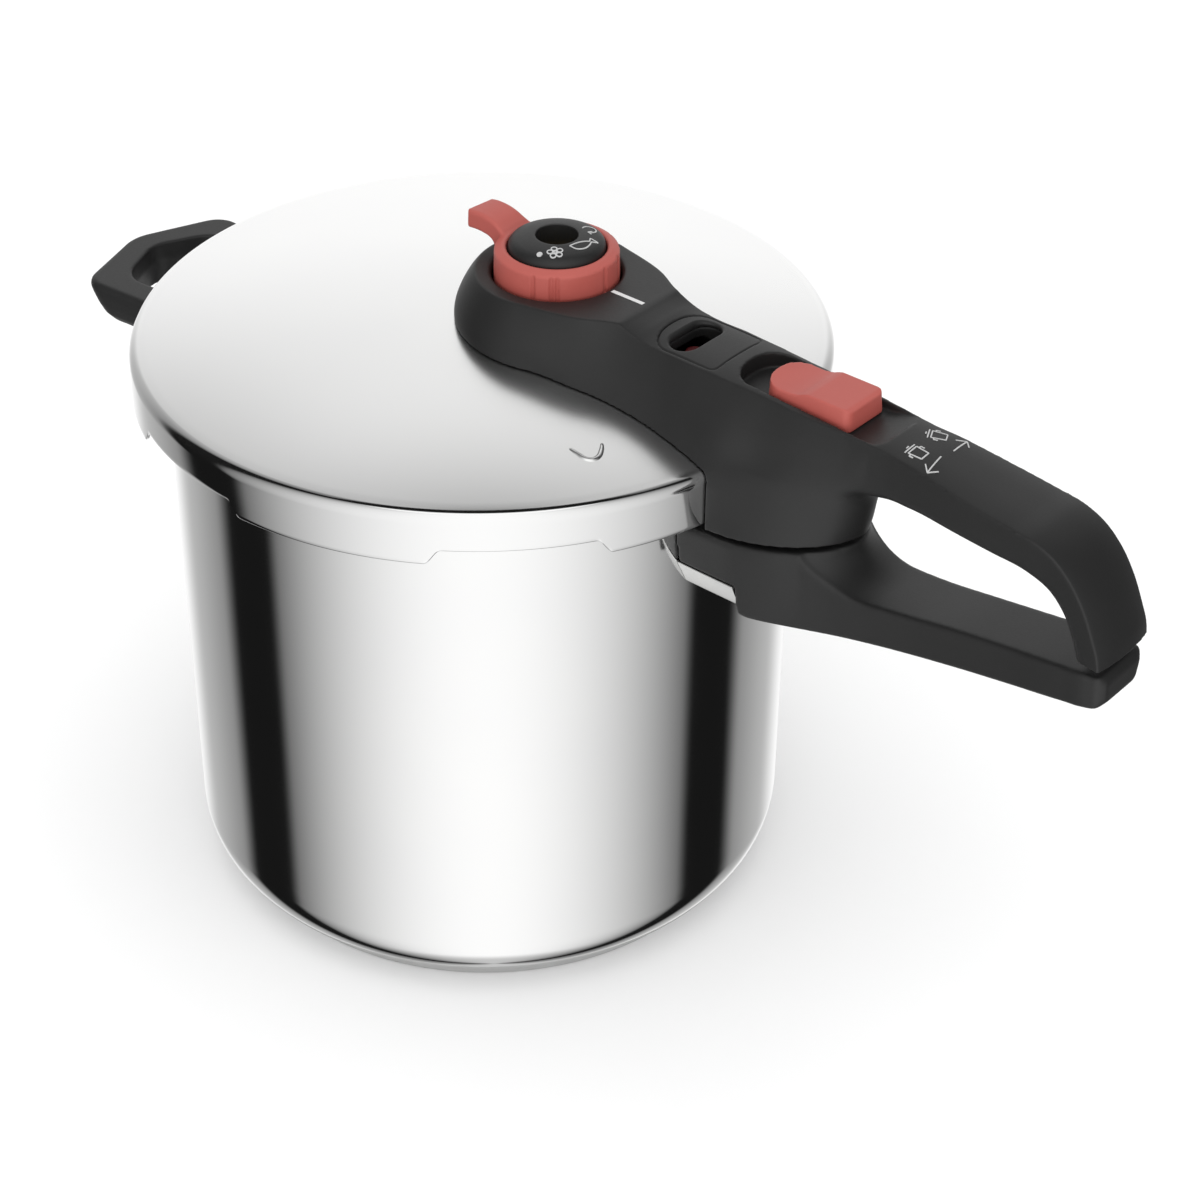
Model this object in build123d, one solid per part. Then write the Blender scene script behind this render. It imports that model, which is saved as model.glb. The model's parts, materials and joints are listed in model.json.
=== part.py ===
"""Stovetop pressure cooker with a bayonet lid, a long two-part handle, a pressure selector
dial, a lid lock button and a helper handle.

Millimetres, +Z up. The origin is the centre of the base on the plane it stands on, and
+X runs along the long handle.
"""
import os
from math import asin, cos, degrees, radians, sin, sqrt

from build123d import *

# Pot
pot_radius = 111.0              # outside of the wall
pot_wall = 1.0
rim_height = 206.0              # top of the rim flange
corner_radius = 24.0            # outside radius between wall and base
corner_center_height = 25.0
rim_land = 2.0                  # how far the rim flange stands out between the lugs
rim_flange = 1.6                # thickness of the rim flange and of the turned-down lugs
lug_count = 6
lug_angle = 26.0
lug_reach = 9.5                 # how far a lug stands out from the wall
lug_depth = 6.0                 # height of a lug's turned-down edge
lug_first_angle = -12.3         # centre of the first lug, from the long handle

# Base
base_radius = 97.7
base_cup_wall = 0.8
base_cup_edge = 0.6
diffuser_thickness = 3.1

# Lid
skirt_overhang = 12.2           # how far the skirt stands out from the pot wall
skirt_drop = 8.1                # how far the skirt reaches below the rim
skirt_height = 15.0             # straight part of the skirt
lid_edge_radius = 4.4
lid_dome = 16.5                 # rise of the middle above the rounded edge
lid_sheet = 1.2
notch_angle = 28.0
notch_depth = 5.4
lip_angle = 25.0                # turned-in edge of a skirt tab

# Gasket
gasket_width = 14.0
gasket_lip = 3.0
gasket_back = 4.0

# Lid handle
head_height = 17.2              # flat top of the head above the top of the lid
head_radius = 34.4              # of the straight part of its side
head_shoulder_radius = 32.3     # half way from there to the top
head_top_radius = 27.8
head_belly_height = 0.5         # top of the straight part above the top of the lid
handle_wall = 3.0
head_flat_inset = 49.2          # end of the flat top, from the skirt
parting_drop = 1.9              # parting of the two handles below the skirt
parting_gap = 2.0
parting_slope = 0.098           # rise of the parting, outwards from the skirt
root_shoulder = 19.0            # height of the straight part of the root's sides
crest_step = 1.4                # drop of the top line behind the head
crest_run = 12.0                # length over which it drops
crest_slope = 0.048             # fall of the top line along the neck
grip_length = 139.6             # from the skirt to the tip of the lid handle
grip_depth = 18.0               # underside of the grip below the top line
grip_root_drop = 12.0           # end of the underside at the root, below that
tip_thickness = 10.0
tip_clearance = 4.5             # end of the lid handle above the root of the parting
trim = 1.0                      # how far a cut runs past the face it opens

# Outlines of the lid handle, as distance beyond the skirt and half width
root_plan = [(-89.0, 30.0), (-64.7, 33.4), (-56.2, 32.0), (-47.5, 30.6), (-38.9, 28.6), (-27.3, 26.6),
             (-14.5, 25.9), (0.0, 26.2), (9.5, 26.0), (22.8, 22.4), (31.8, 16.9), (38.0, 10.0), (41.6, 0.0)]
crest_plan = [(-89.0, 27.2), (-73.2, 23.8), (-57.7, 18.9), (-48.8, 14.8), (-35.2, 12.9), (0.0, 12.6),
              (25.0, 11.8), (36.0, 8.0), (43.0, 0.0)]
grip_plan = [(0.0, 14.2), (31.8, 13.5), (46.8, 12.7), (66.8, 13.0), (89.8, 14.4), (139.6, 14.6)]

# Side view of the grip, as distance before the tip and depth below the end of the top line
grip_top = [(51.8, 5.2), (26.8, 8.5), (19.3, 11.7), (10.8, 19.7), (3.0, 34.7)]
grip_under = [(16.5, 31.7), (30.0, 20.6), (68.0, 18.2)]

# Lid handle base
base_plate_thickness = 3.2
base_screw_radius = 1.5
base_screw_length = 10.0
base_screw_offset = 13.0        # from the middle of the handle
base_screw_head_radius = 2.9
base_screw_head_height = 1.8
base_boss_radius = 3.8

# Selector dial
dial_inset = 88.9               # dial axis, from the skirt
dial_ring_radius = 21.35
dial_ring_rise = 9.8            # top of the ring above the head
dial_ring_width = 4.9
dial_well_depth = 8.5
dial_well_gap = 0.8
dial_deck = 3.0                 # floor under the dial well
dial_ring_edge = 1.6            # softened top edge of the ring
dial_cap_rise = 3.9             # top of the cap above the ring
dial_cap_wall = 1.8
dial_cap_shoulder = 3.0         # where the cap's dome rounds over, from its edge
dial_cap_shoulder_rise = 2.05
dial_hub_height = 5.0
dial_hub_wall = 2.4
lever_reach = 35.3              # from the dial axis to the tip of the lever
lever_half_width = 6.4
lever_root_half_width = 11.5
lever_waist = 4.0               # where the lever narrows, from the ring
lever_waist_half_width = 7.6
lever_thickness = 6.2
lever_rise = 2.2                # top of the lever's tip above the ring
lever_dip = 2.6                 # top of the lever's root below the top of the ring
lever_root_thickness = 4.7
steam_hole_radius = 7.2

# Steam duct and pressure valve
duct_radius = 5.0
duct_bore_radius = 1.6
duct_flange_radius = 9.0
duct_flange_height = 3.0
nozzle_radius = 3.6
nozzle_height = 10.5            # above the top of the lid
nut_height = 5.0
thread_end = 1.0                # how far a thread stands out below its nut
seal_thickness = 1.2
plunger_radius = 5.0
plunger_height = 2.2
plunger_stem_radius = 1.8
valve_lift = 2.0
guide_thickness = 1.8
valve_spring_wire = 0.7

# Pressure indicator
indicator_inset = 28.7          # indicator, from the skirt
indicator_stem_radius = 2.6
indicator_head_radius = 3.6
indicator_head_length = 11.6
indicator_travel = 6.0
indicator_bush_rise = 6.4       # top of the bush above the lid
indicator_bush_radius = 4.1
indicator_flange_radius = 6.2
indicator_flange_height = 1.8
indicator_nut_radius = 7.2
indicator_tail = 1.5            # end of the pin below its seal
indicator_seal_height = 4.0
indicator_seal_radius = 4.6
plate_length = 27.4
plate_half_width = 12.8
plate_thickness = 1.2
plate_front = 9.8               # from the indicator to the plate's front end
plate_bow = 7.0                 # depth of the plate's rounded front
slot_width = 10.2
slot_length = 21.2

# Lock button
well_inset = 5.2                # front of the button well inside the skirt
well_length = 59.0
well_half_width = 11.3
well_depth = 6.0
well_ramp = 12.0                # length of the ramp at the rear of the well
well_bow = 8.0                  # depth of the well's rounded front
button_front = 11.0             # from the front of the well to the button
button_length = 34.4
button_half_width = 10.2
button_scoop = 17.5             # length of the thumb scoop
button_bow = 7.0                # depth of the button's rounded front
button_sag = 0.7                # rise of the scoop a third of the way from its ridge
button_chamfer = 2.2            # softened rear edge
button_front_rise = 4.4         # front edge of the button above its underside
button_rise = 7.6               # ridge of the button above its underside
lock_travel = 10.0
lock_floor = 2.5
lock_stem_length = 16.0
lock_stem_half_width = 3.0
bolt_thickness = 4.4
bolt_half_width = 6.5
bolt_front = 10.0               # front of the bolt, from the front of the well
bolt_length = 26.0
bolt_nose_length = 4.0
bolt_nose_half_width = 4.0
bolt_nose_clearance = 2.5       # end of the nose above the parting
lock_spring_length = 24.0
lock_spring_radius = 2.0
lock_spring_wire = 0.6
lock_stop = 3.0
lock_screw_radius = 1.5
lock_screw_head_radius = 2.6
lock_screw_head_height = 1.6
lock_screw_reach = 3.0          # end of the screw above the button's underside

# Safety valve
safety_inset = 55.2             # safety valve, from the skirt
safety_thread_radius = 5.0
safety_body_radius = 6.0
safety_flange = 1.5             # how far the hexagon stands out from the body
safety_body_rise = 13.0         # top of the body above the lid
safety_inlet_radius = 1.5
safety_ball_radius = 3.0
safety_ball_lift = 1.5
safety_cap_height = 3.0
safety_vent_radius = 0.8
safety_spring_wire = 0.6

# Main handle on the pot
foot_depth = 17.0               # side of the root where it meets the pot
foot_length = 20.5              # from the pot wall to the end of the flame guard
heel_depth = 31.8               # deepest point of the handle below the root of the parting
main_tip_length = 140.6         # from the skirt to the tip of the main handle
main_tip_thickness = 14.0
main_tip_edge = 2.5
main_top_drop = 8.5             # lowest point of the grip's top below the top of the foot
catch_length = 8.0
catch_depth = 6.0

# Outlines of the main handle, as distance beyond the skirt and half width
foot_plan = [(-13.4, 25.4), (-2.0, 25.8), (9.5, 25.8), (22.8, 22.4), (31.8, 16.9), (38.0, 10.0), (41.6, 0.0)]
main_plan = [(8.0, 22.2), (22.8, 18.5), (48.8, 15.2), (86.8, 13.2), (128.6, 13.2), (140.6, 0.0)]

# Side view of the main handle's grip, as distance beyond the skirt and height: of its top above
# the lowest point, and of its underside above the heel
main_top = [(48.8, 0.0), (103.8, 6.7)]
main_under = [(94.8, 12.2), (46.8, 4.4), (23.4, 1.0), (12.4, 0.0)]

# Main handle bracket and flame guard
bracket_sheet = 2.0
bracket_height = 20.0
bracket_half_width = 15.0
tongue_half_width = 10.0
tongue_length = 46.0            # from the pot wall
tongue_drop = 14.0              # top of the tongue below the root of the parting
guard_sheet = 1.0
guard_half_width = 24.2
guard_base_half_width = 19.7
guard_depth = 10.0
handle_screw_radius = 2.5
handle_screw_head_radius = 4.6
handle_screw_head_height = 2.6
main_screw_inset = 8.0          # screw from the end of the tongue

# Lid handle bracket
hook_half_width = 11.0
hook_height = 11.0
hook_length = 13.0
hook_sheet = 2.0
hook_screw_inset = 6.0

# Helper handle
helper_top_drop = 17.5          # top face below the rim
helper_thickness = 15.0
helper_reach = 77.0             # from the pot wall to the apex
helper_corner_reach = 65.0
helper_corner_half_width = 36.0
helper_arm_half_width = 31.0
helper_bar = 12.5               # width of the outer bar
helper_arm = 11.0               # width of an arm
helper_arm_spread = 2.0         # how much wider an arm is at the bar
helper_root = 17.0              # from the pot wall to the finger opening
helper_edge = 4.0
helper_bracket_half_width = 18.0
helper_bracket_height = 10.0
helper_pin_length = 9.0
helper_screw_spacing = 22.0
helper_screw_radius = 2.0
helper_screw_head_radius = 3.6
helper_screw_head_height = 2.2

# Fits
running_gap = 0.08              # radial clearance of a sliding or turning fit
seat_gap = 0.1                  # between pieces fixed to each other
moving_gap = 0.3                # between pieces that move past each other
hole_gap = 0.1                  # radial clearance of a stud or screw in its hole

# Levels and radii worked out from the sizes above
pot_bore = pot_radius - pot_wall
floor_underside = base_cup_wall + diffuser_thickness
rim_gap_radius = pot_radius + rim_land
lug_radius = pot_radius + lug_reach
lid_radius = pot_radius + skirt_overhang
head_flat_end = lid_radius - head_flat_inset
dial_x = lid_radius - dial_inset
safety_x = lid_radius - safety_inset
indicator_x = lid_radius - indicator_inset
skirt_bottom = rim_height - skirt_drop
skirt_top = skirt_bottom + skirt_height
lid_edge_height = skirt_top + lid_edge_radius
lid_top = lid_edge_height + lid_dome
lid_flat_radius = lid_radius - lid_edge_radius
dome_radius = (lid_flat_radius ** 2 + lid_dome ** 2) / (2 * lid_dome) + lid_edge_radius
head_top = lid_top + head_height
parting = skirt_bottom - parting_drop
dial_top = head_top + dial_ring_rise
dial_floor = head_top - dial_well_depth
well_front = lid_radius - well_inset
deck_x = well_front + well_length


def lid_surface(radius):
    """Height of the lid's dome at a radius."""
    return lid_top - dome_radius + sqrt(dome_radius ** 2 - radius ** 2)


def crest(x):
    """Height of the lid handle's top line over the neck and the button."""
    return head_top - crest_step - crest_slope * (x - head_flat_end)


def parting_height(radius):
    """Height of the parting of the two handles, which rises outwards from the skirt."""
    return parting + parting_slope * (radius - lid_radius)


def beside_parting(edge, drop):
    """A ring around the pot between a level and the parting, or a surface that far below it."""
    far = lid_radius + root_plan[-1][0] + trim
    return turned([(pot_radius, edge), (far, edge), (far, parting_height(far) - drop),
                   (lid_radius, parting - drop), (pot_radius, parting - drop)])


well_floor = crest(well_front) - well_depth
bolt_top = well_floor - lock_floor - moving_gap
button_base = well_floor + moving_gap


def turned(points, x=0.0, y=0.0, sweep=360.0, start=0.0):
    """A closed outline of radius and height, turned about a vertical axis."""
    face = Plane.XZ * make_face(Polyline(*points, close=True))
    return Pos(x, y, 0) * Rot(0, 0, start) * revolve(face, Axis.Z, revolution_arc=sweep)


def rod(radius, low, high, x=0.0, y=0.0):
    return Pos(x, y, low) * Cylinder(radius, high - low, align=(Align.CENTER, Align.CENTER, Align.MIN))


def tube(outer, inner, low, high, x=0.0, y=0.0):
    return rod(outer, low, high, x, y) - rod(inner, low, high, x, y)


def hexagon(radius, low, high, x=0.0):
    return Pos(x, 0, low) * extrude(RegularPolygon(radius, 6), high - low)


def block(x_low, x_high, half_width, low, high):
    size = (x_high - x_low, 2 * half_width, high - low)
    return Pos(x_low, 0, low) * Box(*size, align=(Align.MIN, Align.CENTER, Align.MIN))


def standing(face, half_width):
    """A face drawn in X and Z, given a width across Y."""
    return extrude(Plane.XZ * face, half_width, both=True)


def plan(face, low, high):
    """A face drawn in X and Y, raised between two heights."""
    return Pos(0, 0, low) * extrude(face, high - low)


def beyond_skirt(stations):
    return [(lid_radius + x, width) for x, width in stations]


def outline(stations, inset=0.0):
    """A plan outline, the same on both sides of the X axis, through stations of x and half
    width, ending in a rounded nose at the last station."""
    side = [(x, width - inset) for x, width in stations[:-1]]
    nose = (stations[-1][0] - inset, 0.0)
    other = [(x, -width) for x, width in reversed(side)]
    curve = Spline(*side, nose, *other)
    return make_face(curve + Line(other[-1], side[0]))


def strip(stations):
    """A plan outline with square ends through stations of x and half width."""
    far = Spline(*stations)
    near = Spline(*[(x, -width) for x, width in stations])
    (x_low, low), (x_high, high) = stations[0], stations[-1]
    return make_face(far + Line((x_high, high), (x_high, -high)) + near + Line((x_low, -low), (x_low, low)))


def bowed(front, rear, half_width, bow):
    """A plan outline with a rounded front and a square rear."""
    nose = ThreePointArc((front + bow, -half_width), (front, 0), (front + bow, half_width))
    sides = Polyline(nose @ 1, (rear, half_width), (rear, -half_width), nose @ 0)
    return make_face(nose + sides)


def arc_between(center, radius, start, end):
    """An arc of a circle from one angle to another, in degrees."""
    def point(angle):
        return (center[0] + radius * cos(radians(angle)), center[1] + radius * sin(radians(angle)))
    return ThreePointArc(point(start), point((start + end) / 2), point(end))


def screw(radius, head_radius, head_height, low, high, x, y=0.0):
    """A screw driven upwards, with its head at the bottom."""
    return rod(head_radius, low, low + head_height, x, y) + rod(radius, low, high, x, y)


def screw_hole(radius, head_radius, head_height, low, high, x, y=0.0):
    head = rod(head_radius + seat_gap, low - head_height, low + head_height, x, y)
    return head + rod(radius + hole_gap, low, high + hole_gap, x, y)


def make_pot():
    """The drawn pot: a wall, a rounded corner, a flat floor and a rim flange with lugs."""
    center = (pot_radius - corner_radius, corner_center_height)
    inner_radius = corner_radius - pot_wall
    floor_top = floor_underside + pot_wall
    outer_angle = -degrees(asin((corner_center_height - floor_underside) / corner_radius))
    inner_angle = -degrees(asin((corner_center_height - floor_top) / inner_radius))
    outer = arc_between(center, corner_radius, outer_angle, 0)
    inner = arc_between(center, inner_radius, 0, inner_angle)
    wall = Polyline(
        (pot_radius, corner_center_height),
        (pot_radius, rim_height - rim_flange),
        (rim_gap_radius, rim_height - rim_flange),
        (rim_gap_radius, rim_height),
        (pot_bore, rim_height),
        (pot_bore, corner_center_height),
    )
    floor = Polyline(inner @ 1, (0, floor_top), (0, floor_underside), outer @ 0)
    shell = revolve(Plane.XZ * make_face(outer + wall + inner + floor), Axis.Z)
    lug = [
        (pot_radius, rim_height),
        (pot_radius, rim_height - rim_flange),
        (lug_radius - rim_flange, rim_height - rim_flange),
        (lug_radius - rim_flange, rim_height - lug_depth),
        (lug_radius, rim_height - lug_depth),
        (lug_radius, rim_height),
    ]
    for index in range(lug_count):
        angle = lug_first_angle + index * 360.0 / lug_count
        shell += turned(lug, sweep=lug_angle, start=angle - lug_angle / 2)
    return shell


def make_base_cup():
    inner = base_radius - base_cup_wall
    points = [(0, 0), (base_radius, 0), (base_radius, floor_underside), (inner, floor_underside),
              (inner, base_cup_wall), (0, base_cup_wall)]
    cup = turned(points)
    return fillet(cup.edges().group_by(Axis.Z)[0], base_cup_edge)


def make_diffuser():
    return rod(base_radius - base_cup_wall - seat_gap, base_cup_wall, floor_underside)


def lid_section(outside=True):
    """Half section under the lid's outer skin, or under its inner skin: a dome that runs smoothly
    into the rounded edge, and the skirt."""
    inset = 0.0 if outside else lid_sheet
    wall = lid_radius - inset
    slope = degrees(asin(lid_flat_radius / (dome_radius - lid_edge_radius)))
    dome = arc_between((0, lid_top - dome_radius), dome_radius - inset, 90, 90 - slope)
    corner = arc_between((lid_flat_radius, skirt_top), lid_edge_radius - inset, 90 - slope, 0)
    sides = Polyline((wall, skirt_top), (wall, skirt_bottom), (0, skirt_bottom), (0, lid_top - inset))
    return make_face(dome + corner + sides)


def lid_body(outside=True):
    return revolve(Plane.XZ * lid_section(outside), Axis.Z)


def make_lid():
    """The pressed lid: a dome and a notched skirt, whose tabs have a turned-in edge
    that ends just outside the rim lugs."""
    shell = lid_body() - lid_body(outside=False)
    pitch = 360.0 / lug_count
    wall = lid_radius - lid_sheet
    notch_top = skirt_bottom + notch_depth
    notch = [(wall - trim, skirt_bottom - trim), (lid_radius + trim, skirt_bottom - trim),
             (lid_radius + trim, notch_top), (wall - trim, notch_top)]
    lip_radius = lug_radius + moving_gap
    lip = [(lip_radius, skirt_bottom), (wall, skirt_bottom), (wall, skirt_bottom + lid_sheet),
           (lip_radius, skirt_bottom + lid_sheet)]
    for index in range(lug_count):
        middle = lug_first_angle + index * pitch
        shell -= turned(notch, sweep=notch_angle, start=middle + (pitch - notch_angle) / 2)
        shell += turned(lip, sweep=lip_angle, start=middle - lip_angle / 2)
    shell -= rod(duct_radius + hole_gap, skirt_bottom, head_top, dial_x)
    shell -= rod(indicator_bush_radius + hole_gap, skirt_bottom, head_top, indicator_x)
    shell -= rod(safety_thread_radius + hole_gap, skirt_bottom, head_top, safety_x)
    return shell


def make_gasket():
    """A ring of C section, open inwards, between the rim flange and the lid."""
    outer = lid_radius - lid_sheet - moving_gap
    inner = outer - gasket_width
    low = rim_height + seat_gap
    high = lid_surface(outer) - lid_sheet - moving_gap - lid_edge_radius / 2
    back = outer - gasket_back
    points = [(inner, low), (outer, low), (outer, high), (inner, high), (inner, high - gasket_lip),
              (back, high - gasket_lip), (back, low + gasket_lip), (inner, low + gasket_lip)]
    return turned(points)


def neck_body(inset=0.0):
    """The neck and root: straight sides at the bottom, leaning in to the narrow top."""
    low = outline(beyond_skirt(root_plan), inset)
    high = outline(beyond_skirt(crest_plan), inset)
    shoulder = parting + root_shoulder
    levels = [Pos(0, 0, parting) * low, Pos(0, 0, shoulder) * low, Pos(0, 0, head_top + trim) * high]
    return loft(levels, ruled=True)


def head_body(inset=0.0):
    """The round head under the dial: a straight side that rounds over towards the flat top."""
    belly = lid_top + head_belly_height
    top = (head_top_radius - inset, head_top)
    low = (head_radius - inset, belly)
    side = ThreePointArc(low, (head_shoulder_radius - inset, (belly + head_top) / 2), top)
    closing = Polyline(top, (0, head_top), (0, skirt_top), (head_radius - inset, skirt_top), low)
    return Pos(dial_x, 0, 0) * revolve(Plane.XZ * make_face(side + closing), Axis.Z)


def grip_body():
    """The arched grip of the lid handle, down to its tip over the main handle's tip."""
    end = lid_radius + grip_length
    low = parting + tip_clearance
    over = crest(deck_x)
    floor = over - grip_depth - grip_root_drop
    root = lid_radius + crest_plan[-1][0]
    crown = [(end - before, over - depth) for before, depth in grip_top]
    top = Spline((lid_radius, crest(lid_radius)), (deck_x, over), *crown, (end, low))
    hollow = [(end - before, over - depth) for before, depth in grip_under]
    under = Spline((end - tip_thickness, low), *hollow, (root, floor))
    sides = Polyline((root, floor), (lid_radius, floor), (lid_radius, crest(lid_radius)))
    profile = make_face(top + Line((end, low), (end - tip_thickness, low)) + under + sides)
    return standing(profile, head_radius) & plan(strip(beyond_skirt(grip_plan)), parting, head_top)


def under_crest():
    """Everything below the lid handle's top line, for trimming the neck."""
    rear = deck_x + trim
    behind = head_flat_end + crest_run
    points = [(dial_x - head_radius, parting), (dial_x - head_radius, head_top), (head_flat_end, head_top),
              (behind, crest(behind)), (rear, crest(rear)), (rear, parting)]
    return standing(make_face(Polyline(*points, close=True)), head_radius)


def button_well():
    """The sunk track of the lock button: a rounded front and a ramp at the rear."""
    high = head_top + trim
    points = [(well_front, well_floor), (deck_x - well_ramp, well_floor), (deck_x, crest(deck_x)),
              (deck_x, high), (well_front, high)]
    track = standing(make_face(Polyline(*points, close=True)), well_half_width)
    return track & plan(bowed(well_front, deck_x, well_half_width, well_bow), parting, high)


def plate_outline(gap=0.0):
    front = indicator_x - plate_front - gap
    rear = front + plate_length + 2 * gap
    return bowed(front, rear, plate_half_width + gap, plate_bow)


def window(gap=0.0):
    """The cross slot over the pressure indicator."""
    face = Pos(indicator_x, 0) * Rot(0, 0, 90) * SlotOverall(slot_length + 2 * gap, slot_width + 2 * gap)
    return plan(face, lid_top, head_top + trim)


def base_screw_places():
    front = dial_x + dial_ring_radius + base_boss_radius
    rear = lid_radius - 2 * lid_edge_radius - base_boss_radius
    return [(x, side * base_screw_offset) for x in (front, rear) for side in (-1, 1)]


def make_handle_shell():
    """The moulded lid handle, open below over the lid."""
    body = (neck_body() & under_crest()) + head_body() + grip_body()
    body -= turned([(0, skirt_bottom - skirt_drop), (lid_radius + moving_gap, skirt_bottom - skirt_drop),
                    (lid_radius + moving_gap, skirt_top), (lid_flat_radius, lid_edge_height + moving_gap),
                    (0, lid_edge_height + moving_gap)])
    body -= Pos(0, 0, moving_gap) * lid_body()
    body -= beside_parting(parting - trim, 0.0)
    deck = dial_floor - dial_deck
    inside = block(dial_x - head_radius, safety_x - safety_body_radius, head_radius, skirt_top, deck)
    neck_end = lid_flat_radius - lid_edge_radius / 2
    roof = crest(neck_end) - plate_thickness - handle_wall
    inside += block(safety_x - safety_body_radius - trim, neck_end, head_radius, skirt_top, roof)
    body -= (neck_body(handle_wall) + head_body(handle_wall)) & inside
    for x, y in base_screw_places():
        boss = rod(base_boss_radius, lid_surface(x - base_boss_radius) + base_plate_thickness + moving_gap,
                   roof, x, y)
        body += boss & (neck_body() & under_crest())
        body -= rod(base_screw_radius, lid_surface(x), roof - handle_wall, x, y)
    body -= rod(dial_ring_radius + dial_well_gap, dial_floor, head_top + trim, dial_x)
    hub = dial_hub_radius()
    body += rod(hub, deck, dial_floor + dial_hub_height, dial_x)
    body -= rod(hub - dial_hub_wall, deck - trim, head_top, dial_x)
    plate_floor = crest(indicator_x - plate_front) - plate_thickness - plate_tilt()
    body -= plan(plate_outline(seat_gap), plate_floor, head_top + trim)
    body -= window(seat_gap)
    body -= button_well()
    stem_front = well_front + button_front + (button_length - lock_stem_length) / 2
    body -= block(stem_front - lock_travel - moving_gap, stem_front + lock_stem_length + moving_gap,
                  lock_stem_half_width + moving_gap, bolt_top - moving_gap, well_floor + trim)
    bolt_end = well_front + bolt_front + bolt_length
    body -= block(neck_end - trim, bolt_end + moving_gap, bolt_half_width + moving_gap,
                  bolt_top - bolt_thickness - 2 * moving_gap, bolt_top + moving_gap)
    spring_stop = well_front + bolt_front - lock_spring_length
    body += block(spring_stop - lock_stop, spring_stop, bolt_half_width,
                  bolt_top - bolt_thickness, roof + trim)
    body -= block(bolt_end - bolt_nose_length - lock_travel - moving_gap, bolt_end + moving_gap,
                  bolt_nose_half_width + moving_gap, parting - trim, bolt_top)
    low = hook_low()
    body -= block(lid_radius, lid_radius + hook_length + seat_gap, hook_half_width + seat_gap,
                  low - seat_gap, low + hook_sheet + seat_gap)
    body -= block(lid_radius - 2 * hook_sheet, lid_radius + hook_sheet + 2 * moving_gap,
                  hook_half_width + seat_gap, low - seat_gap, low + hook_height + seat_gap)
    body -= screw_hole(handle_screw_radius, handle_screw_head_radius, handle_screw_head_height,
                       hook_screw_low(), low + hook_sheet + 2 * handle_screw_radius, hook_screw_x())
    return body


def dial_hub_radius():
    return dial_ring_radius - dial_ring_width - seat_gap - dial_cap_wall - running_gap


def plate_tilt():
    """How far the top line falls over the length of the plate."""
    front = indicator_x - plate_front
    return crest(front) - crest(front + plate_length)


def hook_low():
    return skirt_bottom + 2 * lid_sheet


def hook_screw_low():
    return parting_height(hook_screw_x() + handle_screw_head_radius)


def hook_screw_x():
    return lid_radius + hook_length - hook_screw_inset


def make_handle_base():
    """The plate under the lid handle, lying on the lid and clamped by the steam duct."""
    end = lid_flat_radius - lid_edge_radius
    shape = neck_body(handle_wall + moving_gap) + head_body(handle_wall + moving_gap)
    plate = shape & block(dial_x - head_radius, end, head_radius, skirt_top, head_top)
    plate &= Pos(0, 0, base_plate_thickness) * lid_body()
    plate -= Pos(0, 0, seat_gap) * lid_body()
    plate -= rod(duct_radius + hole_gap, skirt_top, head_top, dial_x)
    plate -= rod(indicator_flange_radius + moving_gap, skirt_top, head_top, indicator_x)
    plate -= rod(safety_flange_radius() + moving_gap, skirt_top, head_top, safety_x)
    for x, y in base_screw_places():
        plate -= screw_hole(base_screw_radius, base_screw_head_radius, base_screw_head_height,
                            base_screw_low(x), head_top, x, y)
    return plate


def base_screw_low(x):
    """Underside of a base screw's head, over the highest point of the lid below it."""
    return lid_surface(x - base_screw_head_radius) + 2 * seat_gap


def make_base_screws():
    group = []
    for x, y in base_screw_places():
        low = base_screw_low(x)
        thread = base_screw_radius - hole_gap / 2
        group.append(screw(thread, base_screw_head_radius, base_screw_head_height, low,
                           low + base_screw_length, x, y))
    return Compound(children=group)


def make_indicator_plate():
    front = indicator_x - plate_front
    rear = front + plate_length
    bottom = crest(front) - plate_thickness - plate_tilt() + seat_gap
    points = [(front - trim, bottom), (rear + trim, bottom), (rear + trim, crest(rear + trim)),
              (front - trim, crest(front - trim))]
    sloped = standing(make_face(Polyline(*points, close=True)), head_radius)
    return (sloped & plan(plate_outline(), lid_top, head_top)) - window()


def make_selector_ring():
    """The grip ring of the dial with its lever."""
    inner = dial_ring_radius - dial_ring_width
    low = dial_floor + moving_gap
    ring = turned([(inner, low), (dial_ring_radius, low), (dial_ring_radius, dial_top - dial_ring_edge),
                   (dial_ring_radius - dial_ring_edge, dial_top), (inner, dial_top)], dial_x)
    high = dial_top + lever_rise
    root = dial_top - lever_dip
    middle = dial_ring_radius - dial_ring_width / 2
    tip = lever_reach - lever_half_width
    waist = dial_ring_radius + lever_waist
    flare = [(middle, lever_root_half_width), (waist, lever_waist_half_width), (tip, lever_half_width)]
    far = Spline(*flare)
    near = Spline(*[(x, -width) for x, width in flare])
    end = ThreePointArc(far @ 1, (lever_reach, 0), near @ 1)
    face = make_face(far + end + near + Line(near @ 0, far @ 0))
    crown = Spline((0, root), (waist, root + lever_dip / 2), (lever_reach, high))
    under = Polyline((lever_reach, high), (lever_reach, high - lever_thickness),
                     (0, root - lever_root_thickness), (0, root))
    lever = plan(face, root - lever_root_thickness, high) & standing(make_face(crown + under), dial_ring_radius)
    lever = Pos(dial_x, 0, 0) * Rot(0, 0, 180) * lever
    return ring + (lever - rod(middle, low, high + trim, dial_x))


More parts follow.
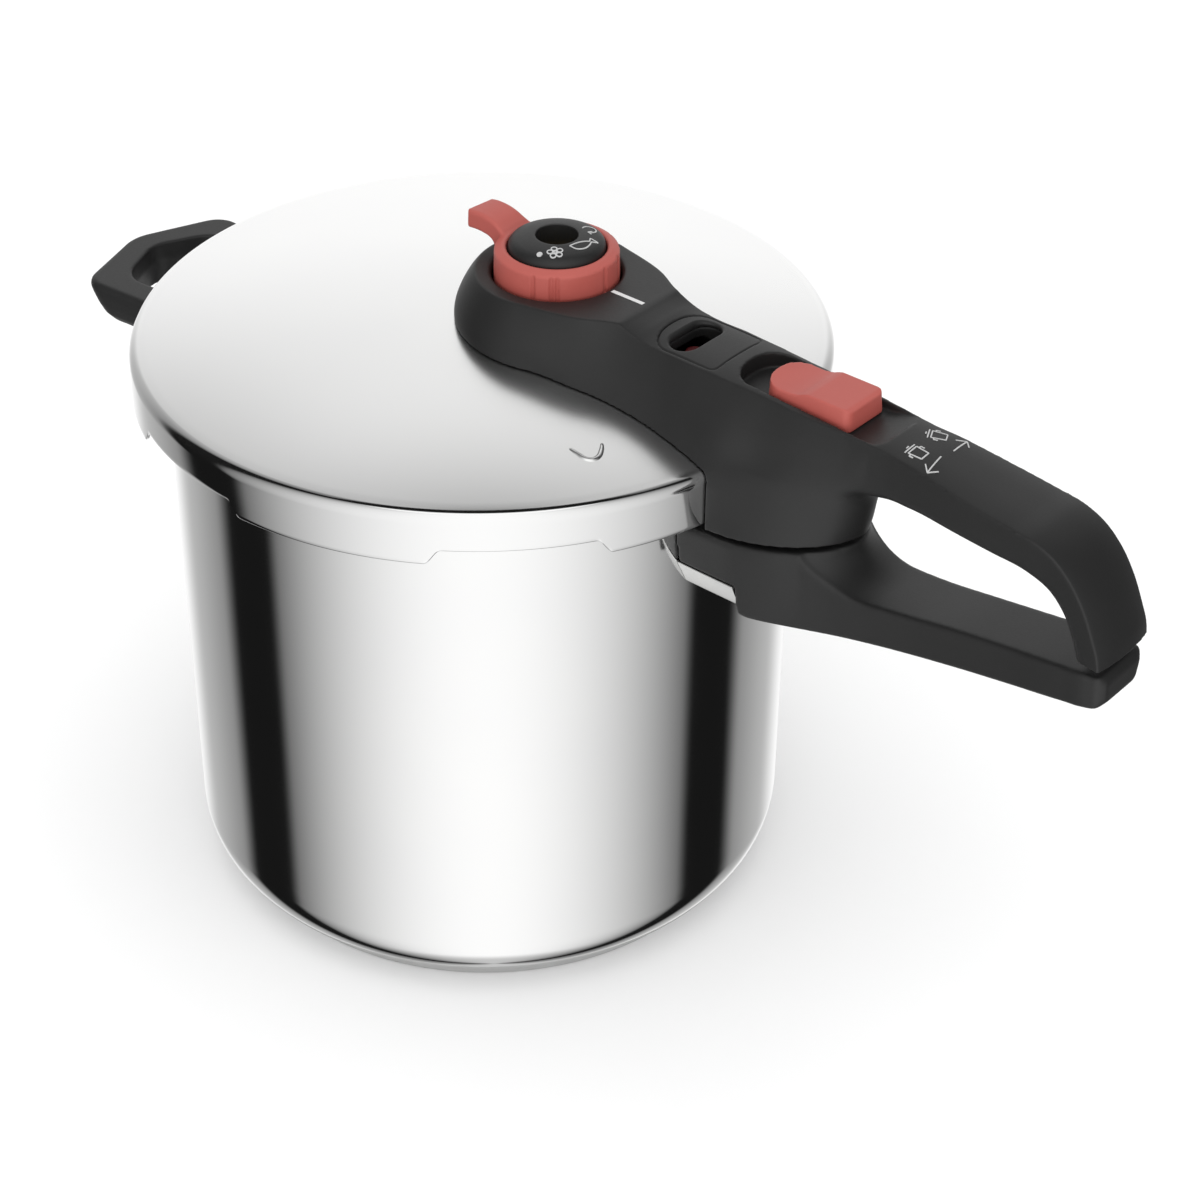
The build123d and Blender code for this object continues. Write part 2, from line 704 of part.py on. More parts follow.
def make_selector_cap():
    """The domed cap of the dial with the steam outlet, running on the hub of the well."""
    outer = dial_ring_radius - dial_ring_width - seat_gap
    inner = outer - dial_cap_wall
    low = dial_floor + moving_gap
    top = dial_top + dial_cap_rise
    under = dial_floor + dial_hub_height + moving_gap
    shoulder = (outer - dial_cap_shoulder, dial_top + dial_cap_shoulder_rise)
    dome = Spline((outer, dial_top), shoulder, (steam_hole_radius, top))
    floor = valve_guide_low()
    bore = inner - dial_cap_wall
    sides = Polyline((steam_hole_radius, top), (steam_hole_radius, floor), (bore, floor), (bore, under),
                     (inner, under), (inner, low), (outer, low), (outer, dial_top))
    return Pos(dial_x, 0, 0) * revolve(Plane.XZ * make_face(dome + sides), Axis.Z)


def nozzle_top():
    return lid_top + nozzle_height


def valve_guide_low():
    return nozzle_top() + plunger_height + 4 * valve_lift


def make_valve_guide():
    """A perforated disc in the steam outlet that guides the valve plunger."""
    low = valve_guide_low()
    high = low + guide_thickness
    disc = tube(steam_hole_radius - seat_gap, plunger_stem_radius + running_gap, low, high, dial_x)
    reach = (steam_hole_radius + plunger_stem_radius) / 2
    hole = (steam_hole_radius - plunger_stem_radius) / 4
    for index in range(4):
        angle = radians(45 + 90 * index)
        disc -= rod(hole, low, high, dial_x + reach * cos(angle), reach * sin(angle))
    return disc


def make_plunger():
    low = nozzle_top() + seat_gap
    stem_top = valve_guide_low() + guide_thickness + valve_lift
    disc = rod(plunger_radius, low, low + plunger_height, dial_x)
    return disc + rod(plunger_stem_radius, low, stem_top, dial_x)


def make_valve_spring():
    low = nozzle_top() + plunger_height + 2 * seat_gap
    inner = plunger_stem_radius + moving_gap
    return tube(inner + valve_spring_wire, inner, low, valve_guide_low() - seat_gap, dial_x)


def make_duct():
    """The steam duct: threaded through the lid, with a flange on the handle base."""
    seat = lid_surface(dial_x - duct_flange_radius) + base_plate_thickness + seat_gap
    low = lid_surface(dial_x) - lid_sheet - seal_thickness - nut_height - thread_end
    body = rod(duct_radius, low, seat, dial_x)
    body += hexagon(duct_flange_radius, seat, seat + duct_flange_height, dial_x)
    body += rod(nozzle_radius, seat, nozzle_top(), dial_x)
    return body - rod(duct_bore_radius, low - trim, nozzle_top() + trim, dial_x)


def ring_below_lid(x, inner, outer, top_gap, height):
    """A flat ring hanging under the lid at one of its fittings."""
    high = lid_surface(x + outer) - lid_sheet - top_gap
    return tube(outer, inner, high - height, high, x)


def nut_below_lid(x, thread, across, top_gap):
    high = lid_surface(x + across) - lid_sheet - top_gap
    nut = hexagon(across, high - nut_height, high, x)
    return nut - rod(thread + hole_gap / 2, high - 2 * nut_height, high + trim, x)


def make_duct_seal():
    return ring_below_lid(dial_x, duct_radius + hole_gap, duct_flange_radius, seat_gap, seal_thickness)


def make_duct_nut():
    return nut_below_lid(dial_x, duct_radius, duct_flange_radius, seal_thickness + 2 * seat_gap)


def indicator_bush_low():
    """Lower end of the indicator's bush, just below its nut."""
    return lid_surface(indicator_x + indicator_nut_radius) - lid_sheet - nut_height - 2 * seat_gap


def make_indicator_bush():
    low = indicator_bush_low()
    seat = lid_surface(indicator_x - indicator_flange_radius) + seat_gap
    top = lid_surface(indicator_x) + indicator_bush_rise
    body = rod(indicator_bush_radius, low, top, indicator_x)
    body += rod(indicator_flange_radius, seat, seat + indicator_flange_height, indicator_x)
    return body - rod(indicator_stem_radius + running_gap, low - trim, top + trim, indicator_x)


def make_indicator_nut():
    return nut_below_lid(indicator_x, indicator_bush_radius, indicator_nut_radius, seat_gap)


def indicator_levels():
    """Bottom of the pin, top of its seal, and underside of its head, at rest."""
    seal_top = indicator_bush_low() - indicator_travel - moving_gap
    head = lid_surface(indicator_x) + indicator_bush_rise + seat_gap
    return seal_top - indicator_seal_height - indicator_tail, seal_top, head


def make_indicator_pin():
    low, _, head = indicator_levels()
    stem = rod(indicator_stem_radius, low, head, indicator_x)
    return stem + rod(indicator_head_radius, head, head + indicator_head_length, indicator_x)


def make_indicator_seal():
    _, top, _ = indicator_levels()
    return tube(indicator_seal_radius, indicator_stem_radius + running_gap, top - indicator_seal_height, top,
                indicator_x)


def button_place():
    return well_front + button_front


def make_button():
    """The lock button: a thumb scoop in front, a flat block behind, and a stem below."""
    front = button_place()
    rear = front + button_length
    ridge = front + button_scoop
    low_edge = button_base + button_front_rise
    high = button_base + button_rise
    scoop = ThreePointArc((front, low_edge), ((front + 2 * ridge) / 3, low_edge + button_sag), (ridge, high))
    rim = Polyline((ridge, high), (rear - button_chamfer, high), (rear, high - button_chamfer),
                   (rear, button_base), (front, button_base), (front, low_edge))
    body = standing(make_face(scoop + rim), button_half_width)
    body &= plan(bowed(front, rear, button_half_width, button_bow), button_base, high)
    stem = front + (button_length - lock_stem_length) / 2
    body += block(stem, stem + lock_stem_length, lock_stem_half_width, bolt_top, button_base + trim)
    hole_top = button_base + lock_screw_reach + trim
    return body - rod(lock_screw_radius, bolt_top - trim, hole_top, lock_screw_x())


def lock_screw_x():
    return button_place() + button_length / 2


def make_bolt():
    """The sliding bolt under the button, with its nose reaching down towards the parting."""
    front = well_front + bolt_front
    rear = front + bolt_length
    low = bolt_top - bolt_thickness
    body = block(front, rear, bolt_half_width, low, bolt_top)
    body += block(rear - bolt_nose_length, rear, bolt_nose_half_width,
                  parting_height(rear) + bolt_nose_clearance, low + trim)
    return body - screw_hole(lock_screw_radius, lock_screw_head_radius, lock_screw_head_height, low,
                             bolt_top, lock_screw_x())


def make_lock_screw():
    low = bolt_top - bolt_thickness
    return screw(lock_screw_radius - hole_gap / 2, lock_screw_head_radius, lock_screw_head_height, low,
                 button_base + lock_screw_reach, lock_screw_x())


def make_lock_spring():
    front = well_front + bolt_front - lock_spring_length
    height = bolt_top - bolt_thickness / 2
    length = lock_spring_length - 2 * seat_gap
    coil = Cylinder(lock_spring_radius, length) - Cylinder(lock_spring_radius - lock_spring_wire, length)
    return Pos(front + lock_spring_length / 2, 0, height) * Rot(0, 90, 0) * coil


def safety_flange_radius():
    return safety_body_radius + safety_flange


def safety_levels():
    """Seat of the ball, rest height of its centre, and top of the body."""
    seat = lid_surface(safety_x)
    center = seat + sqrt(safety_ball_radius ** 2 - safety_inlet_radius ** 2) + seat_gap / 2
    return seat, center, seat + safety_body_rise


def make_safety_body():
    seat, _, top = safety_levels()
    low = lid_surface(safety_x) - lid_sheet - nut_height - thread_end
    flange = lid_surface(safety_x - safety_flange_radius()) + seat_gap
    body = rod(safety_thread_radius, low, flange, safety_x) + rod(safety_body_radius, flange, top, safety_x)
    body += hexagon(safety_flange_radius(), flange, flange + indicator_flange_height, safety_x)
    body -= rod(safety_inlet_radius, low - trim, top, safety_x)
    return body - rod(safety_ball_radius + running_gap, seat, top + trim, safety_x)


def make_safety_nut():
    return nut_below_lid(safety_x, safety_thread_radius, safety_flange_radius(), seat_gap)


def make_safety_ball():
    return Pos(safety_x, 0, safety_levels()[1]) * Sphere(safety_ball_radius)


def make_safety_cap():
    top = safety_levels()[2]
    thread = safety_ball_radius + running_gap / 2
    return tube(thread, safety_vent_radius, top - safety_cap_height, top, safety_x)


def make_safety_spring():
    _, center, top = safety_levels()
    outer = safety_ball_radius - seat_gap
    inner = outer - safety_spring_wire
    low = center + sqrt(safety_ball_radius ** 2 - inner ** 2) + seat_gap
    return tube(outer, inner, low, top - safety_cap_height - seat_gap, safety_x)


def tongue_top():
    return parting - tongue_drop


def make_main_bracket():
    """A plate on the pot wall with a tongue that carries the main handle."""
    high = tongue_top() + bracket_height / 2
    low = tongue_top() - bracket_height / 2
    plate = tube(pot_radius + seat_gap + bracket_sheet, pot_radius + seat_gap, low, high)
    plate &= block(0, pot_radius + 2 * bracket_sheet, bracket_half_width, low, high)
    tongue = block(pot_radius + bracket_sheet / 2, pot_radius + tongue_length, tongue_half_width,
                   tongue_top() - bracket_sheet, tongue_top())
    hole = rod(handle_screw_radius + hole_gap, low, high, main_screw_x())
    return plate + (tongue - rod(pot_radius + seat_gap, low, high)) - hole


def main_screw_x():
    return pot_radius + tongue_length - main_screw_inset


def guard_top():
    return parting - parting_gap - foot_depth


def guard_outline(inset=0.0):
    """Cross section of the flame guard: a tray whose sides lean in."""
    top = guard_top()
    low = top - guard_depth
    lean = (guard_half_width - guard_base_half_width) / guard_depth
    upper = guard_half_width - inset
    lower = guard_base_half_width - inset + lean * inset
    corners = [(-upper, top), (-lower, low + inset), (lower, low + inset), (upper, top)]
    return make_face(Polyline(*corners, close=True))


def guard_solid(inset=0.0):
    face = Plane.YZ * guard_outline(inset)
    return extrude(face, pot_radius + foot_length)


def make_flame_guard():
    tray = guard_solid() - guard_solid(guard_sheet)
    return tray - rod(pot_radius + seat_gap, 0, rim_height)


def make_main_handle():
    """The moulded handle on the pot: a wide foot, a rounded nose and a long grip."""
    top = parting - parting_gap
    heel_x = pot_radius + foot_length + seat_gap
    tip = lid_radius + main_tip_length
    crest_of_foot = parting_height(lid_radius + foot_plan[-1][0])
    foot = plan(outline(beyond_skirt(foot_plan)), guard_top(), crest_of_foot)
    foot -= beside_parting(crest_of_foot + trim, parting_gap)
    foot -= rod(pot_radius + moving_gap, 0, rim_height)
    saddle = top - main_top_drop
    heel = parting - heel_depth
    tip_low = parting - main_tip_thickness
    crown = [(lid_radius + x, saddle + rise) for x, rise in main_top]
    upper = Spline((heel_x, saddle), *crown, (tip - main_tip_edge, parting))
    end = Polyline((tip - main_tip_edge, parting), (tip, parting - main_tip_edge),
                   (tip, tip_low + main_tip_edge), (tip - main_tip_edge, tip_low))
    keel = [(lid_radius + x, heel + rise) for x, rise in main_under]
    lower = Polyline((tip - main_tip_edge, tip_low), *keel, (heel_x, heel), (heel_x, saddle))
    profile = make_face(upper + end + lower)
    grip = standing(profile, head_radius) & plan(outline(beyond_skirt(main_plan)), 0, rim_height)
    handle = foot + grip
    handle -= Pos(0, 0, seat_gap) * guard_solid()
    plate_low = tongue_top() - bracket_height / 2 - seat_gap
    plate_high = tongue_top() + bracket_height / 2 + seat_gap
    pocket = rod(pot_radius + bracket_sheet + 3 * seat_gap, plate_low, plate_high)
    handle -= pocket & block(0, lid_radius, bracket_half_width + seat_gap, plate_low, plate_high)
    handle -= block(pot_radius, pot_radius + tongue_length + seat_gap, tongue_half_width + seat_gap,
                    tongue_top() - bracket_sheet - seat_gap, tongue_top() + seat_gap)
    handle -= screw_hole(handle_screw_radius, handle_screw_head_radius, handle_screw_head_height,
                         main_screw_low(), main_screw_high(), main_screw_x())
    handle -= rod(handle_screw_head_radius + seat_gap, 0, main_screw_low(), main_screw_x())
    catch_end = well_front + bolt_front + bolt_length + moving_gap
    catch_half_width = bolt_nose_half_width + moving_gap
    return handle - block(catch_end - catch_length, catch_end, catch_half_width, top - catch_depth, crest_of_foot)


def main_screw_low():
    return tongue_top() - bracket_sheet - 3 * handle_screw_head_height / 2


def main_screw_high():
    return tongue_top() + 2 * handle_screw_radius


def make_main_screw():
    thread = handle_screw_radius - hole_gap / 2
    return screw(thread, handle_screw_head_radius, handle_screw_head_height, main_screw_low(),
                 main_screw_high(), main_screw_x())


def make_hook():
    """The bracket on the lid's skirt that carries the root of the lid handle."""
    low = hook_low()
    plate = tube(lid_radius + hook_sheet, lid_radius + seat_gap, low, low + hook_height)
    plate &= block(0, lid_radius + 2 * hook_sheet, hook_half_width, low, low + hook_height)
    tongue = block(lid_radius, lid_radius + hook_length, hook_half_width, low, low + hook_sheet)
    tongue -= rod(lid_radius + seat_gap, skirt_bottom, lid_top)
    return plate + tongue - rod(handle_screw_radius + hole_gap, low - trim, low + hook_height, hook_screw_x())


def make_hook_screw():
    thread = handle_screw_radius - hole_gap / 2
    high = hook_low() + hook_sheet + 2 * handle_screw_radius
    low = hook_screw_low()
    return screw(thread, handle_screw_head_radius, handle_screw_head_height, low, high, hook_screw_x())


def helper_top():
    return rim_height - helper_top_drop


def helper_middle():
    return helper_top() - helper_thickness / 2


def helper_outline(inset=0.0):
    """The helper handle's plan: two arms that spread, and a bar in a shallow V."""
    reach = -(pot_radius + helper_reach - inset)
    corner = -(pot_radius + helper_corner_reach - inset)
    half = helper_corner_half_width - inset
    arm = helper_arm_half_width - inset
    near = -(pot_radius - trim)
    points = [(near, arm), (corner, half), (reach, 0), (corner, -half), (near, -arm)]
    return make_face(Polyline(*points, close=True))


def helper_opening():
    reach = -(pot_radius + helper_reach - helper_bar)
    corner = -(pot_radius + helper_corner_reach - helper_bar)
    half = helper_corner_half_width - helper_arm - helper_arm_spread
    arm = helper_arm_half_width - helper_arm
    near = -(pot_radius + helper_root)
    points = [(near, arm), (corner, half), (reach, 0), (corner, -half), (near, -arm)]
    return make_face(Polyline(*points, close=True))


def make_helper_handle():
    low = helper_top() - helper_thickness
    shoulder = helper_top() - helper_edge
    levels = [(low, helper_edge), (shoulder, 0.0), (helper_top(), helper_edge / 4)]
    body = loft([Pos(0, 0, height) * helper_outline(inset) for height, inset in levels], ruled=True)
    body -= plan(helper_opening(), low - trim, rim_height)
    body -= rod(pot_radius + moving_gap, 0, rim_height)
    seat = helper_bracket_half_width + seat_gap
    plate_high = helper_middle() + helper_bracket_height / 2 + seat_gap
    pocket = rod(pot_radius + bracket_sheet + 3 * seat_gap, low - trim, plate_high)
    body -= pocket & Rot(0, 0, 180) * block(0, lid_radius, seat, low - trim, rim_height)
    shelf_end = pot_radius + bracket_sheet + helper_pin_length + seat_gap
    body -= Rot(0, 0, 180) * block(pot_radius, shelf_end, seat, low - trim, helper_plate_high() + seat_gap)
    for y in helper_screw_places():
        body -= rod(helper_screw_radius, low, helper_screw_high(), helper_screw_x(), y)
    return body


def helper_plate_high():
    return helper_middle() - helper_bracket_height / 2 + bracket_sheet


def helper_screw_x():
    return -(pot_radius + bracket_sheet + helper_pin_length / 2)


def helper_screw_places():
    return [side * helper_screw_spacing / 2 for side in (-1, 1)]


def helper_screw_high():
    return helper_plate_high() + 3 * helper_screw_radius


def make_helper_bracket():
    """An angle on the pot wall: a curved plate and a shelf under the helper handle."""
    low = helper_middle() - helper_bracket_height / 2
    high = low + helper_bracket_height
    inner = pot_radius + seat_gap
    plate = tube(inner + bracket_sheet, inner, low, high)
    plate &= block(0, lid_radius, helper_bracket_half_width, low, high)
    shelf_end = pot_radius + bracket_sheet + helper_pin_length
    shelf = block(pot_radius - trim, shelf_end, helper_bracket_half_width, low, helper_plate_high())
    angle = Rot(0, 0, 180) * (plate + (shelf - rod(inner, 0, rim_height)))
    for y in helper_screw_places():
        angle -= rod(helper_screw_radius + hole_gap, 0, rim_height, helper_screw_x(), y)
    return angle


def make_helper_screws():
    low = helper_plate_high() - bracket_sheet - helper_screw_head_height
    thread = helper_screw_radius - hole_gap / 2
    high = helper_screw_high() - seat_gap
    group = [screw(thread, helper_screw_head_radius, helper_screw_head_height, low, high, helper_screw_x(), y)
             for y in helper_screw_places()]
    return Compound(children=group)


pieces = {
    "pot_shell": make_pot,
    "base_diffuser": make_diffuser,
    "base_cup": make_base_cup,
    "main_handle_bracket": make_main_bracket,
    "flame_guard": make_flame_guard,
    "main_handle": make_main_handle,
    "main_handle_screw": make_main_screw,
    "helper_handle_bracket": make_helper_bracket,
    "helper_handle": make_helper_handle,
    "helper_handle_screws": make_helper_screws,
    "lid_gasket": make_gasket,
    "lid_shell": make_lid,
    "lid_handle_shell": make_handle_shell,
    "lid_handle_base": make_handle_base,
    "base_screws": make_base_screws,
    "lid_handle_bracket": make_hook,
    "lid_handle_screw": make_hook_screw,
    "indicator_plate": make_indicator_plate,
    "steam_duct": make_duct,
    "duct_seal": make_duct_seal,
    "duct_nut": make_duct_nut,
    "selector_ring": make_selector_ring,
    "selector_cap": make_selector_cap,
    "valve_guide": make_valve_guide,
    "valve_plunger": make_plunger,
    "valve_spring": make_valve_spring,
    "indicator_bush": make_indicator_bush,
    "indicator_nut": make_indicator_nut,
    "indicator_pin": make_indicator_pin,
    "indicator_seal": make_indicator_seal,
    "lock_button": make_button,
    "lock_bolt": make_bolt,
    "lock_screw": make_lock_screw,
    "lock_spring": make_lock_spring,
    "safety_body": make_safety_body,
    "safety_nut": make_safety_nut,
    "safety_ball": make_safety_ball,
    "safety_cap": make_safety_cap,
    "safety_spring": make_safety_spring,
}

os.makedirs("parts", exist_ok=True)
for name, make in pieces.items():
    export_step(make(), f"parts/{name}.step")
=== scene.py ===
"""Looks of a stovetop pressure cooker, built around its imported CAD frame.

Sizes are written in millimetres and put into the meshes in metres. The origin is the middle of
the base, +X runs along the long handle and +Z up. A shape is a numpy surface: a grid of points
worked out from two parameters, or a section carried along a path.
"""
import json

import bmesh
import bpy
import numpy as np
from mathutils import Matrix, Vector


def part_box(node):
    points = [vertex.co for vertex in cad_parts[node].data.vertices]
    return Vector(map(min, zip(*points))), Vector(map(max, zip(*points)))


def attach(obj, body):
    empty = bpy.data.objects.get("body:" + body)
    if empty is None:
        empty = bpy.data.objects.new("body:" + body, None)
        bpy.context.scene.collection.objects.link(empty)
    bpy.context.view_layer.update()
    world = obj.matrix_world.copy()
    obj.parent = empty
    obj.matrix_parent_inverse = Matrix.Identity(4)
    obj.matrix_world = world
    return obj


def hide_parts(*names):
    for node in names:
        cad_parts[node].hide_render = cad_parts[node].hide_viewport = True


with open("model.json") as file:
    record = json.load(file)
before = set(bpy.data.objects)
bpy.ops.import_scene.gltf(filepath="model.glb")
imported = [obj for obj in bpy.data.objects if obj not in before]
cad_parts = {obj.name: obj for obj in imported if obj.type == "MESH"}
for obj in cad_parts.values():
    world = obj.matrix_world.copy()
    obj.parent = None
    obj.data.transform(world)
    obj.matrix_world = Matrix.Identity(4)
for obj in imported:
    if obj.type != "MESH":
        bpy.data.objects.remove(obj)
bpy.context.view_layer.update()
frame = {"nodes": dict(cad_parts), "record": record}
METRE = 0.001
FULL_TURN = 2 * np.pi
GAP = 0.3
ARC_STEPS = 6

# Pot and base. FIXING_LOW is below, and FIXING_HIGH above, all that is fixed to the wall.
POT_RADIUS = 111.0
POT_WALL = 1.0
WALL_LOW = 30.0
WALL_HIGH = 200.0
FIXING_LOW = 150.0
FIXING_HIGH = 210.0
RIM_TOP = 206.0
RIM_RADIUS = 113.0
RIM_SHEET = 1.6
LUG_RADIUS = 120.5
LUG_SINK = 0.4
LUG_BOTTOM = 200.0
LUG_ANGLE = 26.0
CORNER_RADIUS = 24.0
CORNER_MIDDLE = (87.0, 25.0)
FLOOR_UNDERSIDE = 3.9
BASE_RADIUS = 97.7
BASE_SHEET = 0.8
BASE_EDGE = 1.2

# Lid, and the section of its seal as radius, height and corner radius
LID_RADIUS = 123.2
LID_SHEET = 1.2
LID_STEPS = 840
SKIRT_BOTTOM = 197.9
SKIRT_TOP = 212.9
LID_EDGE = 4.4
LID_TOP = 233.8
LID_DOME = 16.5
LID_FLAT = LID_RADIUS - LID_EDGE
DOME_RADIUS = (LID_FLAT ** 2 + LID_DOME ** 2) / (2 * LID_DOME) + LID_EDGE
DOME_SLOPE = np.degrees(np.arcsin(LID_FLAT / (DOME_RADIUS - LID_EDGE)))
NOTCH_RISE = 5.4
NOTCH_HALF_ANGLE = 13.05
NOTCH_SLOPE = 2.6
TAB_MIDDLE = -12.3
TAB_PITCH = 60.0
TAB_COUNT = 6
GASKET_SECTION = [(107.7, 206.1, 0.8), (121.7, 206.1, 1.2), (121.7, 212.9, 2.0), (107.7, 212.9, 0.8),
                  (107.7, 209.95, 1.0), (117.7, 209.95, 0.4), (117.7, 209.1, 0.4), (107.7, 209.1, 1.0)]

# Lid handle: levels, and places along it. FOOT_LOW lies below its foot, and CUT_TOP above its top.
# NOSE_FILLET is the x, z and reach of the blend between its nose and its grip.
DIAL_X = 34.3
HEAD_TOP = 251.0
HEAD_END = 60.0
HEAD_SWING = 14.0
FLAT_END = 74.0
FOOT_LOW = 190.0
CUT_TOP = 260.0
PARTING = 196.0
PARTING_GAP = 2.0
PARTING_SLOPE = 0.098
LEAN_START = 213.0
LEAN_LIMIT = 1.06
LEAN_POWER = 1.12
SIDE_POINTS = 5
INDICATOR_X = 94.5
SAFETY_X = 68.0
LID_HOLES = [(DIAL_X, 5.1), (SAFETY_X, 5.1), (INDICATOR_X, 4.2)]
LID_HOLE_TOP = 240.0
WELL_FRONT = 117.4
WELL_REAR = 177.0
WELL_FLOOR = 241.5
WELL_RAMP = 12.0
WELL_HALF_WIDTH = 11.5
WELL_BOW = 8.0
PLATE_FRONT = 84.7
PLATE_REAR = 112.1
PLATE_HALF_WIDTH = 12.8
PLATE_LIP = 0.6
PLATE_GROOVE = 0.45
PLATE_LOW = 245.6
PLATE_LEVEL = 248.0
BED_FLOOR = 245.4
SLOT_HALF_WIDTH = 5.1
SLOT_HALF_LENGTH = 10.6
SLOT_FLOOR = 238.0
GRIP_START = 120.0
GRIP_DRAFT = 1.2
GRIP_ROUND = 4.2
CROWN = 1.4
CROWN_RUN = 8.0
CROWN_POWER = 2.5
NOSE_FILLET = (174.0, 222.6, 13.0)
BLEND_ROUNDS = 150

# Rooms in the lid handle: the well of the dial and the room in the head as radius and height, the room
# in the neck as x and half width at its foot and roof, and that of the button's stem as a box
DIAL_WELL = [(0, 225), (11.95, 225), (11.95, 242.5), (22.15, 242.5), (22.15, 249.6), (23.4, 251.4),
             (23.4, CUT_TOP), (0, CUT_TOP)]
ROOM_LOW = 205.0
HEAD_ROOM = [(0, ROOM_LOW), (31.5, ROOM_LOW), (31.5, 236.0), (29.0, 237.4), (0, 237.4)]
NECK_ROOM_FOOT = [(62, 22.0), (76, 21.0), (94, 19.8), (116.6, 19.4)]
NECK_ROOM_ROOF = [(62, 13.0), (76, 10.5), (94, 9.6), (116.6, 9.6)]
STEM_ROOM = (127.9, 154.5, 3.3, 236.0, 242.5)
LOCK_TRAVEL = 10.0
LID_SCREW_X = 130.2
SCREW_ROOM = 2.6
SCREW_HEAD_ROOM = 4.7

# Outline of the neck at its root and at its top as x and half width, the head's radius by height,
# the nose's share of the way from root to top by height, the crease along the top as x and half width
# and as x and height, and the grip's under line
ROOT = [(62.0, 32.4), (76.0, 30.2), (94.2, 26.9), (108.0, 26.1), (123.2, 26.2), (132.7, 26.0), (146.0, 22.4),
        (155.0, 16.9), (161.2, 10.0), (164.8, 0.0)]
CREST = [(62.0, 21.8), (74.4, 15.3), (90.0, 13.0), (106.0, 13.0), (122.0, 12.2), (136.0, 12.3), (152.0, 12.6),
         (168.0, 11.8), (184.0, 11.2), (196.0, 0.0)]
HEAD_SIDE = [(190.0, 34.2), (226.0, 34.2), (231.0, 34.6), (234.5, 35.0), (238.0, 34.6), (242.0, 33.3),
             (245.6, 31.6), (249.5, 29.2), (251.0, 28.0), (253.0, 26.4)]
NOSE_SWEEP = [(190.0, 0.0), (197.0, 0.0), (205.0, 0.055), (212.0, 0.095), (216.0, 0.125), (219.0, 0.17),
              (221.5, 0.25), (223.5, 0.37), (226.0, 0.48), (235.0, 0.66), (245.0, 0.87), (251.0, 1.0),
              (254.0, 1.06)]
EDGE_HALF_WIDTH = [(74.0, 15.6), (90.0, 14.4), (100.0, 14.6), (112.0, 14.8), (122.0, 14.2), (140.0, 14.0),
                   (155.0, 13.5), (170.0, 12.7), (182.0, 12.4), (190.0, 13.0), (213.0, 14.4), (262.7, 14.4)]
EDGE_LINE = [(-20.0, 251.0), (72.0, 251.0), (73.4, 251.0), (74.2, 250.9), (76.0, 250.1), (78.0, 249.3),
             (80.5, 248.4), (84.0, 247.5), (90.0, 246.8), (100.0, 246.6), (112.0, 246.3), (122.0, 246.0),
             (140.0, 245.1), (155.0, 244.4), (170.0, 243.5), (182.0, 242.5), (190.0, 241.9), (200.0, 240.5),
             (213.0, 238.6), (226.0, 236.9), (235.6, 235.5), (243.0, 232.4), (249.4, 227.0), (255.0, 219.2),
             (259.4, 210.0), (261.7, 204.2), (262.5, 199.8)]
UNDER_LINE = [(132.0, 218.4), (150.0, 219.6), (166.0, 221.2), (173.0, 222.3), (181.0, 224.0), (190.8, 224.9),
              (205.0, 224.3), (220.0, 223.3), (232.5, 222.2), (240.8, 219.2), (246.6, 213.4), (250.6, 205.8),
              (252.9, 199.8)]

# Dial: section of its ring as radius, height and corner radius, and the ring's grooves. The lever's half
# width, top and underside by its distance from the dial's axis, and how its tip is bowed. Dome and inside
# of the cap as radius and height.
RING_SECTION = [(17.0, 242.8, 0.3), (21.2, 242.8, 0.4), (21.35, 250.0, 2.0), (21.15, 258.6, 1.2),
                (18.6, 260.0, 1.4), (17.7, 260.1, 0.5), (17.0, 259.5, 0.5)]
RING_HOLE = [(0, 230), (17.0, 230), (17.0, 266), (0, 266)]
GROOVE_CIRCLE = 21.5
GROOVE_SECTION = [(0, 249.0), (0.9, 249.0), (0.9, 258.8), (0, 258.8)]
GROOVE_TURNS = [-71.0, -54.0, -48.5, 0.5, 26.0, 48.0, 70.0, 92.0, 114.0]
LEVER_START = 16.4
LEVER_TIP = 36.4
LEVER_HALF = 6.4
LEVER_WIDTH = [(LEVER_START, 7.6), (18.0, 7.2), (20.0, 6.8), (22.5, 6.5), (26.0, LEVER_HALF),
               (LEVER_TIP, LEVER_HALF)]
LEVER_TOP = [(LEVER_START, 259.4), (17.6, 260.1), (18.4, 260.4), (19.2, 260.9), (20.4, 261.5), (22.4, 262.6),
             (25.1, 263.5), (28.5, 264.0), (32.0, 264.0), (LEVER_TIP, 263.6)]
LEVER_UNDER = [(LEVER_START, 249.0), (21.2, 251.0), (22.2, 253.6), (23.2, 255.3), (25.0, 256.5),
               (28.0, 257.1), (LEVER_TIP, 257.1)]
LEVER_BOW = 1.8
LEVER_FAR_BOW = 1.2
LEVER_BOW_START = 31.0
LEVER_BOW_RUN = 5.4
LEVER_BOW_POWER = 2.5
CAP_RADIUS = 16.6
CAP_DOME = [(0.0, 264.2), (7.2, 263.95), (9.5, 263.7), (12.5, 263.15), (14.4, 262.55), (15.4, 261.95),
            (16.1, 261.1), (16.5, 260.1), (CAP_RADIUS, 259.0)]
CAP_INSIDE = [(7.4, 263.85), (7.2, 263.6), (7.2, 254.5), (12.6, 254.5), (12.6, 247.8), (14.43, 247.8),
              (14.43, 242.8), (16.3, 242.8), (16.3, 250.0)]

